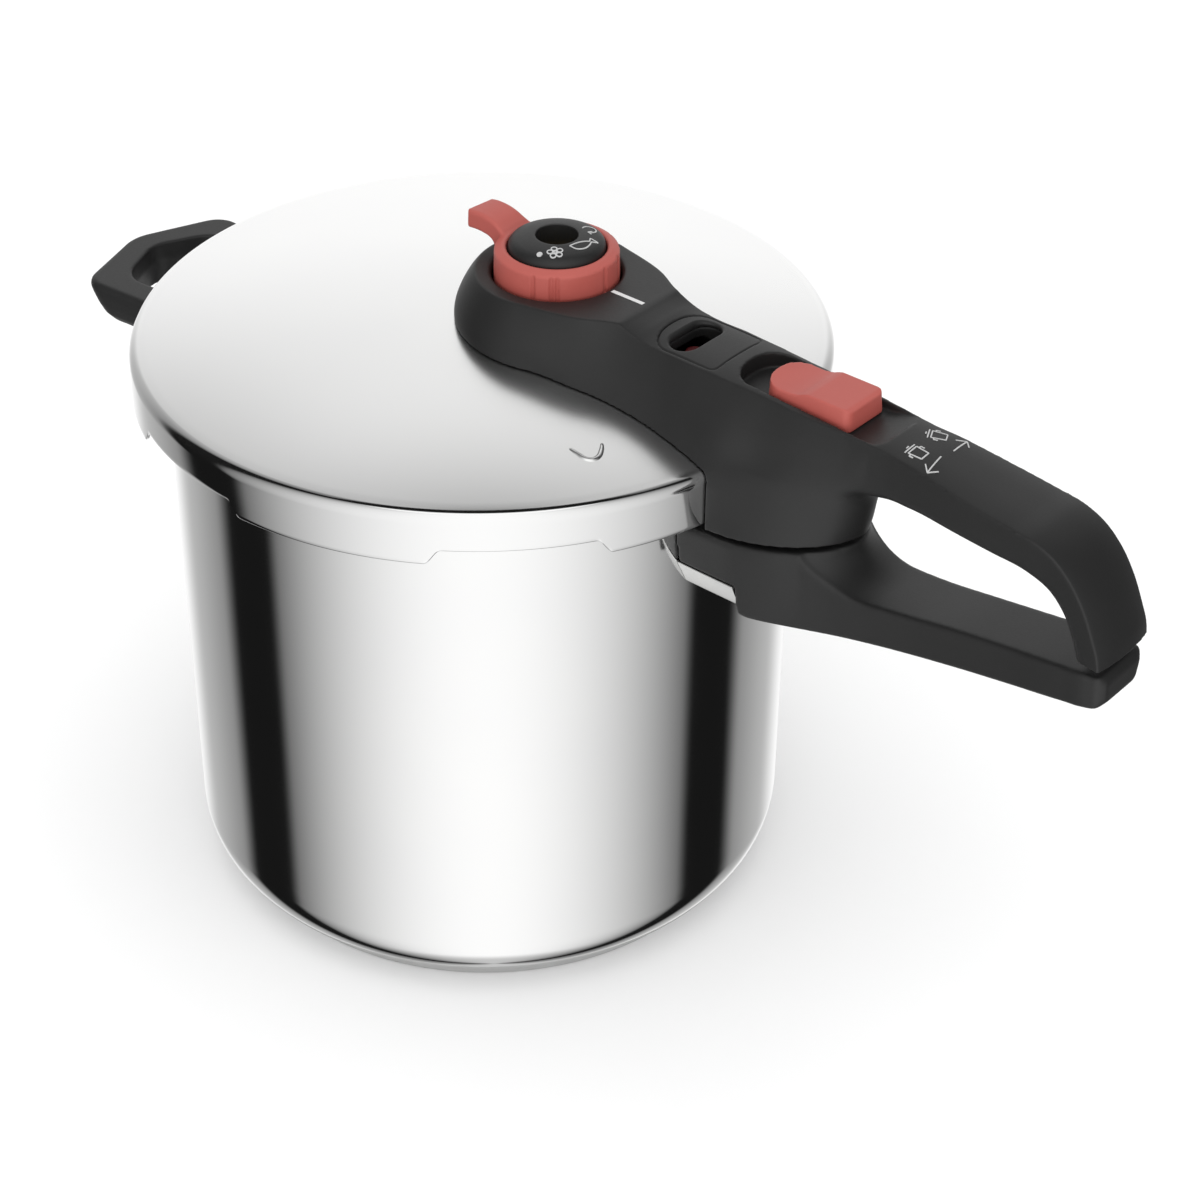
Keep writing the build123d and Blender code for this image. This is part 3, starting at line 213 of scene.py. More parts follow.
# Lock button: its levels, its front, rear, half width, bow and corner radius at the foot and at the crest,
# a side view of what is cut off above its scoop, and its stem as a box. Pressure pin: its section as
# radius, height and corner radius.
BUTTON_LOW = 241.8
BUTTON_HIGH = 249.8
BUTTON_FOOT = (128.2, 163.4, 10.2, 7.6, 2.6)
BUTTON_CREST = (128.5, 163.0, 9.5, 7.4, 2.6)
BUTTON_SCOOP = [(126.0, 249.2), (128.4, 248.8), (131.0, 248.3), (136.0, 247.8), (140.0, 247.8),
                (143.0, 248.3), (145.4, 249.3), (147.2, 249.8)]
BUTTON_REAR = [(161.4, BUTTON_HIGH), (163.6, 248.8), (166.0, 247.6), (166.0, CUT_TOP), (126.0, CUT_TOP)]
STEM = (138.2, 154.2, 3.0, 238.8, 243.0)
PIN_SECTION = [(0, 203.9, 0.01), (2.6, 203.9, 0.6), (2.6, 230.1, 0.2), (3.6, 230.1, 0.3), (3.6, 241.9, 1.0),
               (0, 241.9, 0.01)]

# Main handle: outline of its nose at the parting, half widths at its top and underside and heights of
# both along it, the hollow that leads from the nose down to the grip, its rooms for the bracket and for the
# lock bolt as boxes, a side view of what is cut off below its root, and the section of the tray there
FOOT_NOSE = [(106.0, 25.8), (132.7, 25.8), (146.0, 22.4), (155.0, 16.9), (161.2, 10.0), (164.8, 0.0)]
HOLLOW_RISE = 13.0
HOLLOW_REACH = 16.0
MAIN_EDGE = 1.6
HEEL_Z = 164.3
HEEL_X = 131.7
GUARD_TOP = 177.0
MAIN_TOP = [(106.0, 185.4), (160.0, 185.2), (172.5, 185.8), (190.6, 187.6), (209.7, 190.4), (227.4, 192.7),
            (250.0, 195.3), (259.0, 196.0), (262.6, 195.4), (263.8, 193.6)]
MAIN_UNDER = [(106.0, 163.8), (136.0, HEEL_Z), (148.0, 165.2), (160.0, 166.8), (170.0, 168.4), (194.0, 172.2),
              (218.0, 176.1), (250.0, 181.2), (257.0, 182.3), (261.5, 183.6), (263.8, 186.2)]
MAIN_TOP_WIDTH = [(106.0, 25.6), (121.2, 25.8), (132.7, 25.8), (146.0, 22.8), (155.0, 18.8), (163.0, 16.6),
                  (172.5, 15.3), (190.6, 13.7), (209.7, 13.0), (230.0, 13.0), (250.0, 13.2), (259.0, 12.8),
                  (262.4, 11.6), (263.8, 9.6)]
MAIN_LOW_WIDTH = [(106.0, 22.4), (121.2, 22.4), (134.0, 21.4), (150.0, 17.6), (166.0, 14.6), (182.0, 12.8),
                  (209.7, 11.6), (230.0, 11.6), (250.0, 11.8), (259.0, 11.4), (262.4, 10.2), (263.8, 8.2)]
MAIN_LOW_ROUND = 2.4
MAIN_SCREW_X = 149.0
BRACKET_SEAT = (100.0, 113.4, 15.1, 171.9, 192.1)
CATCH_ROOM = (146.3, 154.3, 4.3, 188.0, 205.0)
HEEL_CUT = [(100.0, FIXING_LOW), (136.0, FIXING_LOW), (136.0, HEEL_Z), (132.6, 165.3), (HEEL_X, 168.0),
            (HEEL_X, GUARD_TOP), (100.0, GUARD_TOP)]
GUARD_SECTION = [(-24.2, GUARD_TOP, 0.2), (-19.7, 167.0, 2.6), (19.7, 167.0, 2.6), (24.2, GUARD_TOP, 0.2),
                 (23.1, GUARD_TOP, 0.2), (18.95, 168.0, 1.8), (-18.95, 168.0, 1.8), (-23.1, GUARD_TOP, 0.2)]

# Helper handle: corners on one side of its outline and of its opening as reach, half width and corner
# radius, the way that each moves as the outline is drawn in or the opening widens, and how far by height
HELPER_SIDE = [(108.0, 31.4, 0.1), (173.6, 36.2, 9.5), (186.8, 0.0, 16.0)]
HELPER_WAYS = [(0, -1, 0), (-1, -1, 0), (-1, 0, 0)]
HELPER_INSETS = [(7.4, 170.8), (5.0, 171.5), (3.0, 174.2), (1.6, 178.2), (0.5, 182.4), (0.0, 185.0),
                 (0.3, 186.6), (1.4, 187.6)]
LOOP_SIDE = [(128.0, 19.6, 5.0), (163.2, 23.4, 13.0), (174.6, 0.0, 12.0)]
LOOP_WAYS = [(-1, 1, 0), (1, 1, 0), (1, 0, 0)]
LOOP_FLARE = [(1.4, 170.0), (0.0, 181.0), (1.2, 192.0)]

# Printed lines, and the embossed tick on the lid
PRINT_WIDTH = 0.42
TICK_HALF_WIDTH = 1.0
TICK_RISE = 0.6
TICK_SINK = 0.06


def eased(table, at):
    """A smooth value at each place, from a table of places and values: cubic pieces whose slope
    at a table row is that of its neighbours."""
    place, value = np.array(table, float).T
    slope = np.gradient(value, place)
    at = np.clip(at, place[0], place[-1])
    left = np.clip(np.searchsorted(place, at, "right") - 1, 0, len(place) - 2)
    width = place[left + 1] - place[left]
    u = (at - place[left]) / width
    ends = (1 + 2 * u) * (1 - u) ** 2 * value[left] + u ** 2 * (3 - 2 * u) * value[left + 1]
    return ends + width * (u * (1 - u) ** 2 * slope[left] + u ** 2 * (u - 1) * slope[left + 1])


def curve(points, count):
    """Points at even steps along a smooth curve through the given ones, by chord length."""
    points = np.array(points, float)
    length = np.append(0, np.cumsum(np.linalg.norm(np.diff(points, axis=0), axis=1)))
    steps = np.linspace(0, length[-1], count)
    return np.stack([eased(np.stack([length, axis], 1), steps) for axis in points.T], 1)


def arc(middle, radius, start, end, count=14):
    """Points of a circle from one angle to another, in degrees."""
    angle = np.radians(np.linspace(start, end, count))
    return np.column_stack([middle[0] + radius * np.cos(angle), middle[1] + radius * np.sin(angle)])


def rounded(corners, steps=ARC_STEPS):
    """A closed outline with each corner, given as x, y and radius, turned into an arc: from the
    point where the arc leaves one side, swept about its middle to where it meets the next. An arc
    takes less than half of either side."""
    corners = np.array(corners, float)
    point, radius = corners[:, :2], corners[:, 2]
    back = np.roll(point, 1, 0) - point
    ahead = np.roll(point, -1, 0) - point
    back_length = np.linalg.norm(back, axis=1)
    ahead_length = np.linalg.norm(ahead, axis=1)
    back = back / back_length[:, None]
    ahead = ahead / ahead_length[:, None]
    half = 0.5 * np.arccos(np.clip((back * ahead).sum(1), -1, 0.9999))
    reach = np.minimum(radius / np.tan(half), 0.49 * np.minimum(back_length, ahead_length))
    sweep = np.maximum(np.pi - 2 * half, 1e-4)[:, None, None]
    towards = back + ahead + 1e-9
    length = np.linalg.norm(towards, axis=1)
    middle = point + towards / length[:, None] * (reach / np.cos(half))[:, None]
    start = (point + back * reach[:, None] - middle)[:, None]
    end = (point + ahead * reach[:, None] - middle)[:, None]
    t = np.linspace(0, 1, steps)[None, :, None]
    bend = (np.sin((1 - t) * sweep) * start + np.sin(t * sweep) * end) / np.sin(sweep)
    return (middle[:, None] + bend).reshape(-1, 2)


def quads(rows, columns, loop_rows=False, loop_columns=False):
    """Corner numbers of the four-sided faces of a grid of points, closed on itself where asked."""
    i = np.arange(rows if loop_rows else rows - 1)[:, None]
    j = np.arange(columns if loop_columns else columns - 1)[None, :]
    up = (i + 1) % rows
    over = (j + 1) % columns
    corners = [i * columns + j, i * columns + over, up * columns + over, up * columns + j]
    return np.stack(corners, -1).reshape(-1, 4)


def mesh_object(name, parts, sharp=35):
    """One object from a list of point arrays with their faces, merged where they meet, with its
    normals outwards and its edges sharp past an angle."""
    points, faces, first = [], [], 0
    for part_points, part_faces in parts:
        flat = np.asarray(part_points, float).reshape(-1, 3)
        points.append(flat)
        faces += [[int(corner) + first for corner in face] for face in part_faces]
        first += len(flat)
    mesh = bpy.data.meshes.new(name)
    mesh.from_pydata((np.concatenate(points) * METRE).tolist(), [], faces)
    return finished(bpy.data.objects.new(name, mesh), sharp)


def finished(thing, sharp=35):
    """Merges doubled points, turns the faces outwards and smooths the shading up to an angle."""
    if thing.name not in bpy.context.scene.objects:
        bpy.context.scene.collection.objects.link(thing)
    edit = bmesh.new()
    edit.from_mesh(thing.data)
    bmesh.ops.remove_doubles(edit, verts=edit.verts, dist=2e-6)
    bmesh.ops.dissolve_degenerate(edit, edges=edit.edges, dist=1e-7)
    bmesh.ops.recalc_face_normals(edit, faces=edit.faces)
    edit.to_mesh(thing.data)
    edit.free()
    thing.data.polygons.foreach_set("use_smooth", np.ones(len(thing.data.polygons), bool))
    thing.data.set_sharp_from_angle(angle=np.radians(sharp))
    return thing


def turned(profile, steps=240, x=0.0, y=0.0, start=0.0, sweep=FULL_TURN):
    """A closed outline of radius r and height z carried round a vertical axis:
    (x + r cos a, y + r sin a, z). A part turn is closed by its end faces."""
    profile = np.array(profile, float)
    whole = sweep == FULL_TURN
    angle = start + np.linspace(0, sweep, steps, endpoint=not whole)[:, None]
    r, z = profile.T
    points = np.stack([x + r * np.cos(angle), y + r * np.sin(angle), z + 0 * angle], -1)
    faces = quads(steps, len(profile), whole, True).tolist()
    if not whole:
        faces += [list(range(len(profile))), list(range((steps - 1) * len(profile), steps * len(profile)))]
    return points, faces


def stacked(levels):
    """A solid from rings of points with the same count, one above the other, closed by end faces."""
    levels = np.array(levels, float)
    rows, columns = levels.shape[:2]
    faces = quads(rows, columns, False, True).tolist()
    faces += [list(range(columns)), list(range((rows - 1) * columns, rows * columns))]
    return levels, faces


def at_height(outline, height):
    """An outline in X and Y, put at a height."""
    return np.column_stack([outline, np.broadcast_to(height, len(outline))])


def raised(outline, low, high):
    """An outline in X and Y, raised between two heights."""
    return stacked([at_height(outline, low), at_height(outline, high)])


def across(side, half_width):
    """A side view in X and Z, given a width across Y."""
    x, z = np.array(side, float).T
    return stacked([np.column_stack([x, np.full(len(x), y), z]) for y in (-half_width, half_width)])


def box(x_low, x_high, half_width, low, high):
    """A block, the same on both sides of the X axis."""
    return across([(x_low, low), (x_high, low), (x_high, high), (x_low, high)], half_width)


def room(node, gap=GAP, ahead=0.0, low=0.0, high=0.0):
    """A box that leaves a CAD piece room: its own box, grown by a gap, and longer by its travel
    towards -X or by a depth below and above it."""
    lowest, highest = (np.array(corner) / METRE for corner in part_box(node))
    return box(lowest[0] - gap - ahead, highest[0] + gap, highest[1] + gap,
               lowest[2] - gap - low, highest[2] + gap + high)


def shaft(x, *steps):
    """A round hole at x from steps of height and radius, each radius up to the next height."""
    heights, radii = np.array(steps, float).T
    side = np.column_stack([np.repeat(radii[:-1], 2), np.repeat(heights, 2)[1:-1]])
    return turned(np.concatenate([[(0, heights[0])], side, [(0, heights[-1])]]), 72, x=x)


def screw_room(x, low, seat, end):
    """The hole of a screw put in from below, wide up to the seat of its head and narrow to its end."""
    return shaft(x, (low, SCREW_HEAD_ROOM), (seat, SCREW_ROOM), (end, SCREW_ROOM))


def both_sides(corners):
    """Corners, as x, y and radius, from one side of the X axis to one on it, and back on the other."""
    corners = np.array(corners, float)
    return np.concatenate([corners, corners[-2::-1] * [1, -1, 1]])


def plan_outline(side, count=160):
    """A closed outline the same on both sides of the X axis, smooth through the points of one side
    from its first point round its nose."""
    side = np.array(side, float)
    return curve(np.concatenate([side, side[-2::-1] * [1, -1]]), count)


def bowed(front, rear, half_width, bow, rear_radius=0.5):
    """An outline with a rounded front, an arc of the given depth, and a square rear."""
    angle = np.linspace(-np.pi / 2, np.pi / 2, 32)
    flat = np.abs(np.sin(angle)) ** 0.85 * np.sign(np.sin(angle))
    nose = np.column_stack([front + bow - bow * np.cos(angle), half_width * flat])
    end = np.linspace(0, np.pi / 2, 6)
    corner = np.column_stack([rear - rear_radius + rear_radius * np.sin(end),
                              half_width - rear_radius + rear_radius * np.cos(end)])
    return np.concatenate([nose, corner, corner[::-1] * [1, -1]])


def stadium(x, half_x, half_y):
    """An outline with two straight sides along Y and round ends."""
    angle = np.linspace(0, np.pi, 16)
    end = np.column_stack([x + half_x * np.cos(angle), half_y - half_x + half_x * np.sin(angle)])
    return np.concatenate([end, [2 * x, 0] - end])


def settled(thing):
    """Applies a piece's modifiers to its mesh."""
    ready = thing.evaluated_get(bpy.context.evaluated_depsgraph_get())
    mesh = bpy.data.meshes.new_from_object(ready)
    thing.modifiers.clear()
    old = thing.data
    thing.data = mesh
    bpy.data.meshes.remove(old)
    return thing


def carved(thing, others, operation="DIFFERENCE"):
    """Cuts solids out of a piece, or joins them to it, and removes them."""
    tools = [mesh_object("tool", [other]) for other in others]
    for tool in tools:
        step = thing.modifiers.new("carve", "BOOLEAN")
        step.operation = operation
        step.solver = "EXACT"
        step.object = tool
    settled(thing)
    for tool in tools:
        bpy.data.objects.remove(tool)
    return thing


def mesh_points(thing):
    """Points of a piece in millimetres."""
    points = np.empty(len(thing.data.vertices) * 3)
    thing.data.vertices.foreach_get("co", points)
    return points.reshape(-1, 3) / METRE


def mesh_parts(thing):
    """Points and faces of a piece, which is removed."""
    points = mesh_points(thing)
    faces = [list(face.vertices) for face in thing.data.polygons]
    bpy.data.objects.remove(thing)
    return points, faces


def remade(thing, voxel):
    """Remakes a piece in even small faces."""
    remake = thing.modifiers.new("remake", "REMESH")
    remake.mode = "VOXEL"
    remake.voxel_size = voxel * METRE


def softened(thing, voxel, rounds, keep=1.0, blend=None):
    """Remakes a piece in even small faces and relaxes them, which rounds its moulded edges, and more
    so about a line across it where two of its forms blend, given as x, z and reach. A point blends in
    full up to half the reach, and less and less beyond it, in ten steps."""
    remade(thing, voxel)
    if blend:
        settled(thing)
        points = mesh_points(thing)
        away = np.hypot(points[:, 0] - blend[0], points[:, 2] - blend[1]) / blend[2]
        group = thing.vertex_groups.new(name="blend")
        for weight in np.linspace(0.1, 1.0, 10):
            near = np.flatnonzero(np.abs(np.clip(2 - 2 * away, 0, 1) - weight) < 0.05)
            group.add(near.tolist(), weight, "REPLACE")
        merge = thing.modifiers.new("merge", "SMOOTH")
        merge.factor = 0.8
        merge.iterations = BLEND_ROUNDS
        merge.vertex_group = "blend"
    relax = thing.modifiers.new("relax", "SMOOTH")
    relax.factor = 0.5
    relax.iterations = rounds
    thin = thing.modifiers.new("thin", "DECIMATE")
    thin.ratio = keep
    return finished(settled(thing), 180)


class Shade:
    """A socket in a tree of shader nodes. Sums on it add Math nodes."""

    def __init__(self, tree, socket=None):
        self.tree = tree
        self.socket = socket

    def node(self, kind, settings=None, out=0, **inputs):
        """Adds a node of a type, sets it, then fills its sockets with values or links."""
        made = self.tree.nodes.new("ShaderNode" + kind)
        for key, value in (settings or {}).items():
            setattr(made, key, value)
        for key, value in inputs.items():
            place = made.inputs[int(key[1:])] if key[1:].isdigit() else made.inputs[key.replace("_", " ")]
            if isinstance(value, Shade):
                self.tree.links.new(value.socket, place)
            else:
                place.default_value = value
        return Shade(self.tree, made.outputs[out])

    def sum(self, operation, first, second=0.0):
        """Adds a Math node on one or two values."""
        return self.node("Math", {"operation": operation}, i0=first, i1=second)

    def __add__(self, other):
        return self.sum("ADD", self, other)

    def __radd__(self, other):
        return self.sum("ADD", other, self)

    def __sub__(self, other):
        return self.sum("SUBTRACT", self, other)

    def __rsub__(self, other):
        return self.sum("SUBTRACT", other, self)

    def __mul__(self, other):
        return self.sum("MULTIPLY", self, other)

    def __rmul__(self, other):
        return self.sum("MULTIPLY", other, self)

    def __truediv__(self, other):
        return self.sum("DIVIDE", self, other)

    def over(self, edge, soft):
        """Rises from 0 to 1 as the value passes an edge."""
        settings = {"interpolation_type": "SMOOTHSTEP"}
        return self.node("MapRange", settings, Value=self, i1=edge - soft, i2=edge + soft)

    def mix(self, low, high):
        """A colour between two, by this value."""
        return self.node("Mix", {"data_type": "RGBA"}, out=2, i0=self, i6=low, i7=high)

    def split(self):
        """The three parts of a vector, each alone."""
        parts = self.node("SeparateXYZ", Vector=self).socket.node.outputs
        return [Shade(self.tree, part) for part in parts]


def colour(red, green, blue):
    """A colour written as on a screen, 0 to 255, turned into light."""
    value = np.array([red, green, blue]) / 255
    return (*np.where(value > 0.04045, ((value + 0.055) / 1.055) ** 2.4, value / 12.92), 1.0)


def material(name, paint, **constants):
    """A material whose shader gets constant values on its sockets, and what paint adds to them."""
    made = bpy.data.materials.new(name)
    made.use_nodes = True
    shader = made.node_tree.nodes["Principled BSDF"]
    for key, value in constants.items():
        shader.inputs[key.replace("_", " ")].default_value = value
    for key, value in paint(Shade(made.node_tree)).items():
        made.node_tree.links.new(value.socket, shader.inputs[key.replace("_", " ")])
    return made


def noise(root, scale, detail=3.0):
    """Noise over Object coordinates."""
    return root.node("TexNoise", Vector=root.node("TexCoord", out=3), Scale=scale, Detail=detail)


def polished_steel(root):
    """Steel polished to a mirror, satin on top of the lid: faint rings of the polishing wheel and
    a slow change of gloss."""
    x, y, z = root.node("TexCoord", out=3).split()
    radius = root.sum("SQRT", x * x + y * y)
    wheel = root.node("CombineXYZ", X=radius * 900, Y=z * 900, Z=0.0)
    rings = root.node("TexNoise", Vector=wheel, Scale=1.0, Detail=3.0)
    cloud = noise(root, 22.0)
    satin = z.over((LID_TOP - LID_DOME) * METRE, 0.4 * METRE)
    return {"Roughness": 0.05 + cloud * 0.04 + rings * 0.015 + satin * 0.15,
            "Base_Color": cloud.mix(colour(250, 250, 250), colour(254, 254, 253)),
            "Normal": root.node("Bump", Height=rings, Strength=0.012, Distance=0.0002)}


def plain_steel(root):
    """Plain steel sheet and wire with a fine grain."""
    grain = noise(root, 900.0, 4.0)
    return {"Roughness": 0.24 + grain * 0.14,
            "Base_Color": noise(root, 60.0).mix(colour(214, 214, 214), colour(228, 228, 226)),
            "Normal": root.node("Bump", Height=grain, Strength=0.08, Distance=0.0002)}


def moulded_black(root):
    """Black moulded plastic: satin, with a fine leathery grain and a slow change of gloss."""
    grain = noise(root, 1500.0, 2.0)
    cloud = noise(root, 45.0)
    return {"Roughness": 0.40 + grain * 0.10 + cloud * 0.06,
            "Base_Color": cloud.mix(colour(25, 25, 25), colour(31, 31, 31)),
            "Normal": root.node("Bump", Height=grain, Strength=0.10, Distance=0.0002)}


def moulded_red(root):
    """Dull red moulded plastic with a fine grain."""
    grain = noise(root, 1700.0, 2.0)
    return {"Roughness": 0.46 + grain * 0.10,
            "Base_Color": noise(root, 70.0).mix(colour(162, 76, 68), colour(171, 83, 75)),
            "Normal": root.node("Bump", Height=grain, Strength=0.10, Distance=0.0002)}


def clouded(scale, rough, spread, low, high, detail=3.0):
    """A plain finish: its roughness, over a spread, and its colour, between two, follow one noise."""
    def paint(root):
        cloud = noise(root, scale, detail)
        return {"Roughness": rough + cloud * spread, "Base_Color": cloud.mix(colour(*low), colour(*high))}
    return paint


STEEL = material("polished_steel", polished_steel, Metallic=1.0)
PLAIN_STEEL = material("plain_steel", plain_steel, Metallic=1.0)
BRASS = material("brass", clouded(180.0, 0.22, 0.16, (196, 164, 92), (216, 186, 118)), Metallic=1.0)
BLACK = material("moulded_black", moulded_black)
RED = material("moulded_red", moulded_red)
# The pin's red is darkened far below the red plastic's own colour: painted shade of the deep slot that it
# sits in.
SHADED_PIN_RED = material("pin_red_painted_shade", clouded(300.0, 0.35, 0.1, (62, 10, 13), (72, 13, 15)))
RUBBER = material("seal_rubber", clouded(120.0, 0.55, 0.2, (120, 120, 120), (136, 136, 134), 4.0))
WHITE = material("printed_white", clouded(900.0, 0.45, 0.1, (198, 198, 198), (212, 212, 212)))
GREY = material("printed_grey", clouded(900.0, 0.45, 0.1, (168, 168, 168), (184, 184, 184)))


def placed(thing, body, look, slot, *nodes):
    """Gives a finished piece its material and its body, and hides the CAD nodes that it stands for."""
    thing.data.materials.clear()
    thing.data.materials.append(look)
    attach(thing, body)
    if nodes:
        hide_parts(*nodes)
    return thing


def lid_height(radius, out=0.0):
    """Height of the lid's dome, or of a skin that far outside it: z = top - R + sqrt((R + out)^2 - r^2)."""
    return LID_TOP - DOME_RADIUS + np.sqrt((DOME_RADIUS + out) ** 2 - np.asarray(radius, float) ** 2)


def lid_line(out=0.0):
    """Radius and height along the dome and its rounded edge, from the middle to the skirt."""
    edge = arc((LID_FLAT, SKIRT_TOP), LID_EDGE + out, 90 - DOME_SLOPE, 0, 12)
    reach = np.linspace(0, edge[0, 0], 40)[:-1]
    return np.concatenate([np.column_stack([reach, lid_height(reach, out)]), edge])


def parting_height(radius):
    """Height of the parting of the two handles, which rises outwards from the skirt."""
    return PARTING + PARTING_SLOPE * (radius - LID_RADIUS)


def below_parting():
    """A ring round the pot that reaches from below the lid handle up to the parting."""
    far = ROOT[-1][0] + 20.0
    low = PARTING - 16.0
    return turned([(POT_RADIUS, low), (far, low), (far, parting_height(far)), (LID_RADIUS, PARTING),
                   (POT_RADIUS, PARTING)])


def pot_room():
    """The pot's wall and a gap around it, for cutting what is fixed to it."""
    radius = POT_RADIUS + GAP
    return turned([(0, FIXING_LOW), (radius, FIXING_LOW), (radius, FIXING_HIGH), (0, FIXING_HIGH)], 240)


def make_pot():
    """The drawn pot, one outline of wall, corner, floor and rim carried round, with six lugs. The
    last two corners of the rim only close it, and are left out."""
    inner = CORNER_RADIUS - POT_WALL
    floor = FLOOR_UNDERSIDE + POT_WALL
    down = -np.degrees(np.arcsin((CORNER_MIDDLE[1] - FLOOR_UNDERSIDE) / CORNER_RADIUS))
    inner_down = -np.degrees(np.arcsin((CORNER_MIDDLE[1] - floor) / inner))
    bore = POT_RADIUS - POT_WALL
    rim_low = RIM_TOP - RIM_SHEET
    rim = rounded([(POT_RADIUS, rim_low, 0.6), (RIM_RADIUS, rim_low, 0.6), (RIM_RADIUS, RIM_TOP, 0.6),
                   (bore, RIM_TOP, 1.2), (bore, FIXING_LOW, 0.1), (POT_RADIUS, FIXING_LOW, 0.1)])
    wall = np.column_stack([np.full(12, POT_RADIUS), np.linspace(WALL_LOW, WALL_HIGH, 12)])
    inside = np.column_stack([np.full(12, bore), np.linspace(WALL_HIGH, WALL_LOW, 12)])
    profile = np.concatenate([[(0, FLOOR_UNDERSIDE)], arc(CORNER_MIDDLE, CORNER_RADIUS, down, 0, 24), wall,
                              rim[:-2 * ARC_STEPS], inside, arc(CORNER_MIDDLE, inner, 0, inner_down, 24),
                              [(0, floor)]])
    parts = [turned(profile, 288)]
    root = POT_RADIUS - LUG_SINK
    lug_inside = LUG_RADIUS - RIM_SHEET
    lug = rounded([(root, RIM_TOP, 0.1), (root, rim_low, 0.1), (lug_inside, rim_low, 0.5),
                   (lug_inside, LUG_BOTTOM, 0.5), (LUG_RADIUS, LUG_BOTTOM, 0.5), (LUG_RADIUS, RIM_TOP, 1.8)])
    sweep = np.radians(LUG_ANGLE)
    for middle in np.radians(TAB_MIDDLE + TAB_PITCH * np.arange(TAB_COUNT)):
        parts.append(turned(lug, 24, start=middle - sweep / 2, sweep=sweep))
    return mesh_object("pot_body", parts)


def make_base_cup():
    """The cup around the base: a thin dish with a rounded lower edge."""
    middle = (BASE_RADIUS - BASE_EDGE, BASE_EDGE)
    rim = [(BASE_RADIUS, FLOOR_UNDERSIDE), (BASE_RADIUS - BASE_SHEET, FLOOR_UNDERSIDE)]
    profile = np.concatenate([[(0, 0)], arc(middle, BASE_EDGE, -90, 0, 8), rim,
                              arc(middle, BASE_EDGE - BASE_SHEET, 0, -90, 6), [(0, BASE_SHEET)]])
    return mesh_object("base_dish", [turned(profile, 240)])


def make_lid():
    """The pressed lid: for each angle a, an outline of dome, rounded edge and skirt whose lower
    end rises by the notch depth between the tabs."""
    angle = np.linspace(0, FULL_TURN, LID_STEPS, endpoint=False)
    turn = (np.degrees(angle) - TAB_MIDDLE) % TAB_PITCH
    from_notch = np.abs(turn - TAB_PITCH / 2)
    ramp = np.clip((NOTCH_HALF_ANGLE + NOTCH_SLOPE / 2 - from_notch) / NOTCH_SLOPE, 0, 1)
    bottom = SKIRT_BOTTOM + NOTCH_RISE * ramp * ramp * (3 - 2 * ramp)
    inner = LID_RADIUS - LID_SHEET
    hem = np.array([(LID_RADIUS, 1.6), (LID_RADIUS, 0.5), (LID_RADIUS - 0.2, 0.12), (LID_RADIUS - 0.6, 0.0),
                    (inner + 0.2, 0.12), (inner, 0.5), (inner, 1.6)])
    top = lid_line()
    under = lid_line(-LID_SHEET)[::-1]
    r, fixed = np.concatenate([top, hem, under]).T
    moves = np.repeat([0.0, 1.0, 0.0], [len(top), len(hem), len(under)])
    z = fixed + moves * bottom[:, None]
    points = np.stack([r * np.cos(angle)[:, None], r * np.sin(angle)[:, None], z], -1)
    lid = mesh_object("lid_dome", [(points, quads(len(angle), len(r), True, False).tolist())])
    holes = [shaft(place, (FOOT_LOW, radius), (LID_HOLE_TOP, radius)) for place, radius in LID_HOLES]
    return finished(carved(lid, holes))


def make_gasket():
    """The sealing ring, a C section open inwards, carried round."""
    return mesh_object("seal_ring", [turned(rounded(GASKET_SECTION), 240)])


def crown(x, y):
    """Rise of the lid handle's top above its creases: c (1 - |y / w|^2.5), from the head's flat on."""
    share = np.clip(np.abs(y) / eased(EDGE_HALF_WIDTH, x), 0, 1)
    return CROWN * np.clip((x - FLAT_END) / CROWN_RUN, 0, 1) * (1 - share ** CROWN_POWER)


def top_height(x, y):
    """Top face of the lid handle."""
    return eased(EDGE_LINE, x) + crown(x, y)


def handle_outline(height):
    """Outline of the lid handle's head and neck at a height: an arc of the head's radius, then the
    neck's side, which leans in towards the crest, and whose nose sweeps out under the grip."""
    lean = np.clip((height - LEAN_START) / (HEAD_TOP - LEAN_START), 0, LEAN_LIMIT) ** LEAN_POWER
    share = np.where(np.arange(len(ROOT)) < SIDE_POINTS, lean, eased(NOSE_SWEEP, height))[:, None]
    side = np.array(ROOT) * (1 - share) + np.array(CREST) * share
    head = arc((DIAL_X, 0), eased(HEAD_SIDE, height), 180, HEAD_END + HEAD_SWING * lean, 16)
    return plan_outline(np.concatenate([head, side]), 261)[:-1]


def crown_cutter():
    """Everything above the lid handle's top face, as a sheet of heights carried upwards, with finer
    steps where the head's flat drops to the neck."""
    x = np.concatenate([np.linspace(-10, 72, 10), np.linspace(72.5, 92, 40), np.linspace(93, 205, 60)])
    y = np.linspace(-45, 45, 91)
    aside, along = np.meshgrid(y, x)
    low = np.stack([along, aside, top_height(along, aside)], -1)
    high = low.copy()
    high[..., 2] = CUT_TOP + 15.0
    rows, columns = low.shape[:2]
    sheet = quads(rows, columns)
    count = rows * columns
    last_row = (rows - 1) * columns
    edge = np.concatenate([np.arange(columns), np.arange(1, rows) * columns + columns - 1,
                           last_row + np.arange(columns - 2, -1, -1), np.arange(rows - 2, 0, -1) * columns])
    walls = np.stack([edge, np.roll(edge, -1), np.roll(edge, -1) + count, edge + count], 1)
    faces = np.concatenate([sheet, sheet[:, ::-1] + count, walls])
    return np.concatenate([low.reshape(-1, 3), high.reshape(-1, 3)]), faces.tolist()


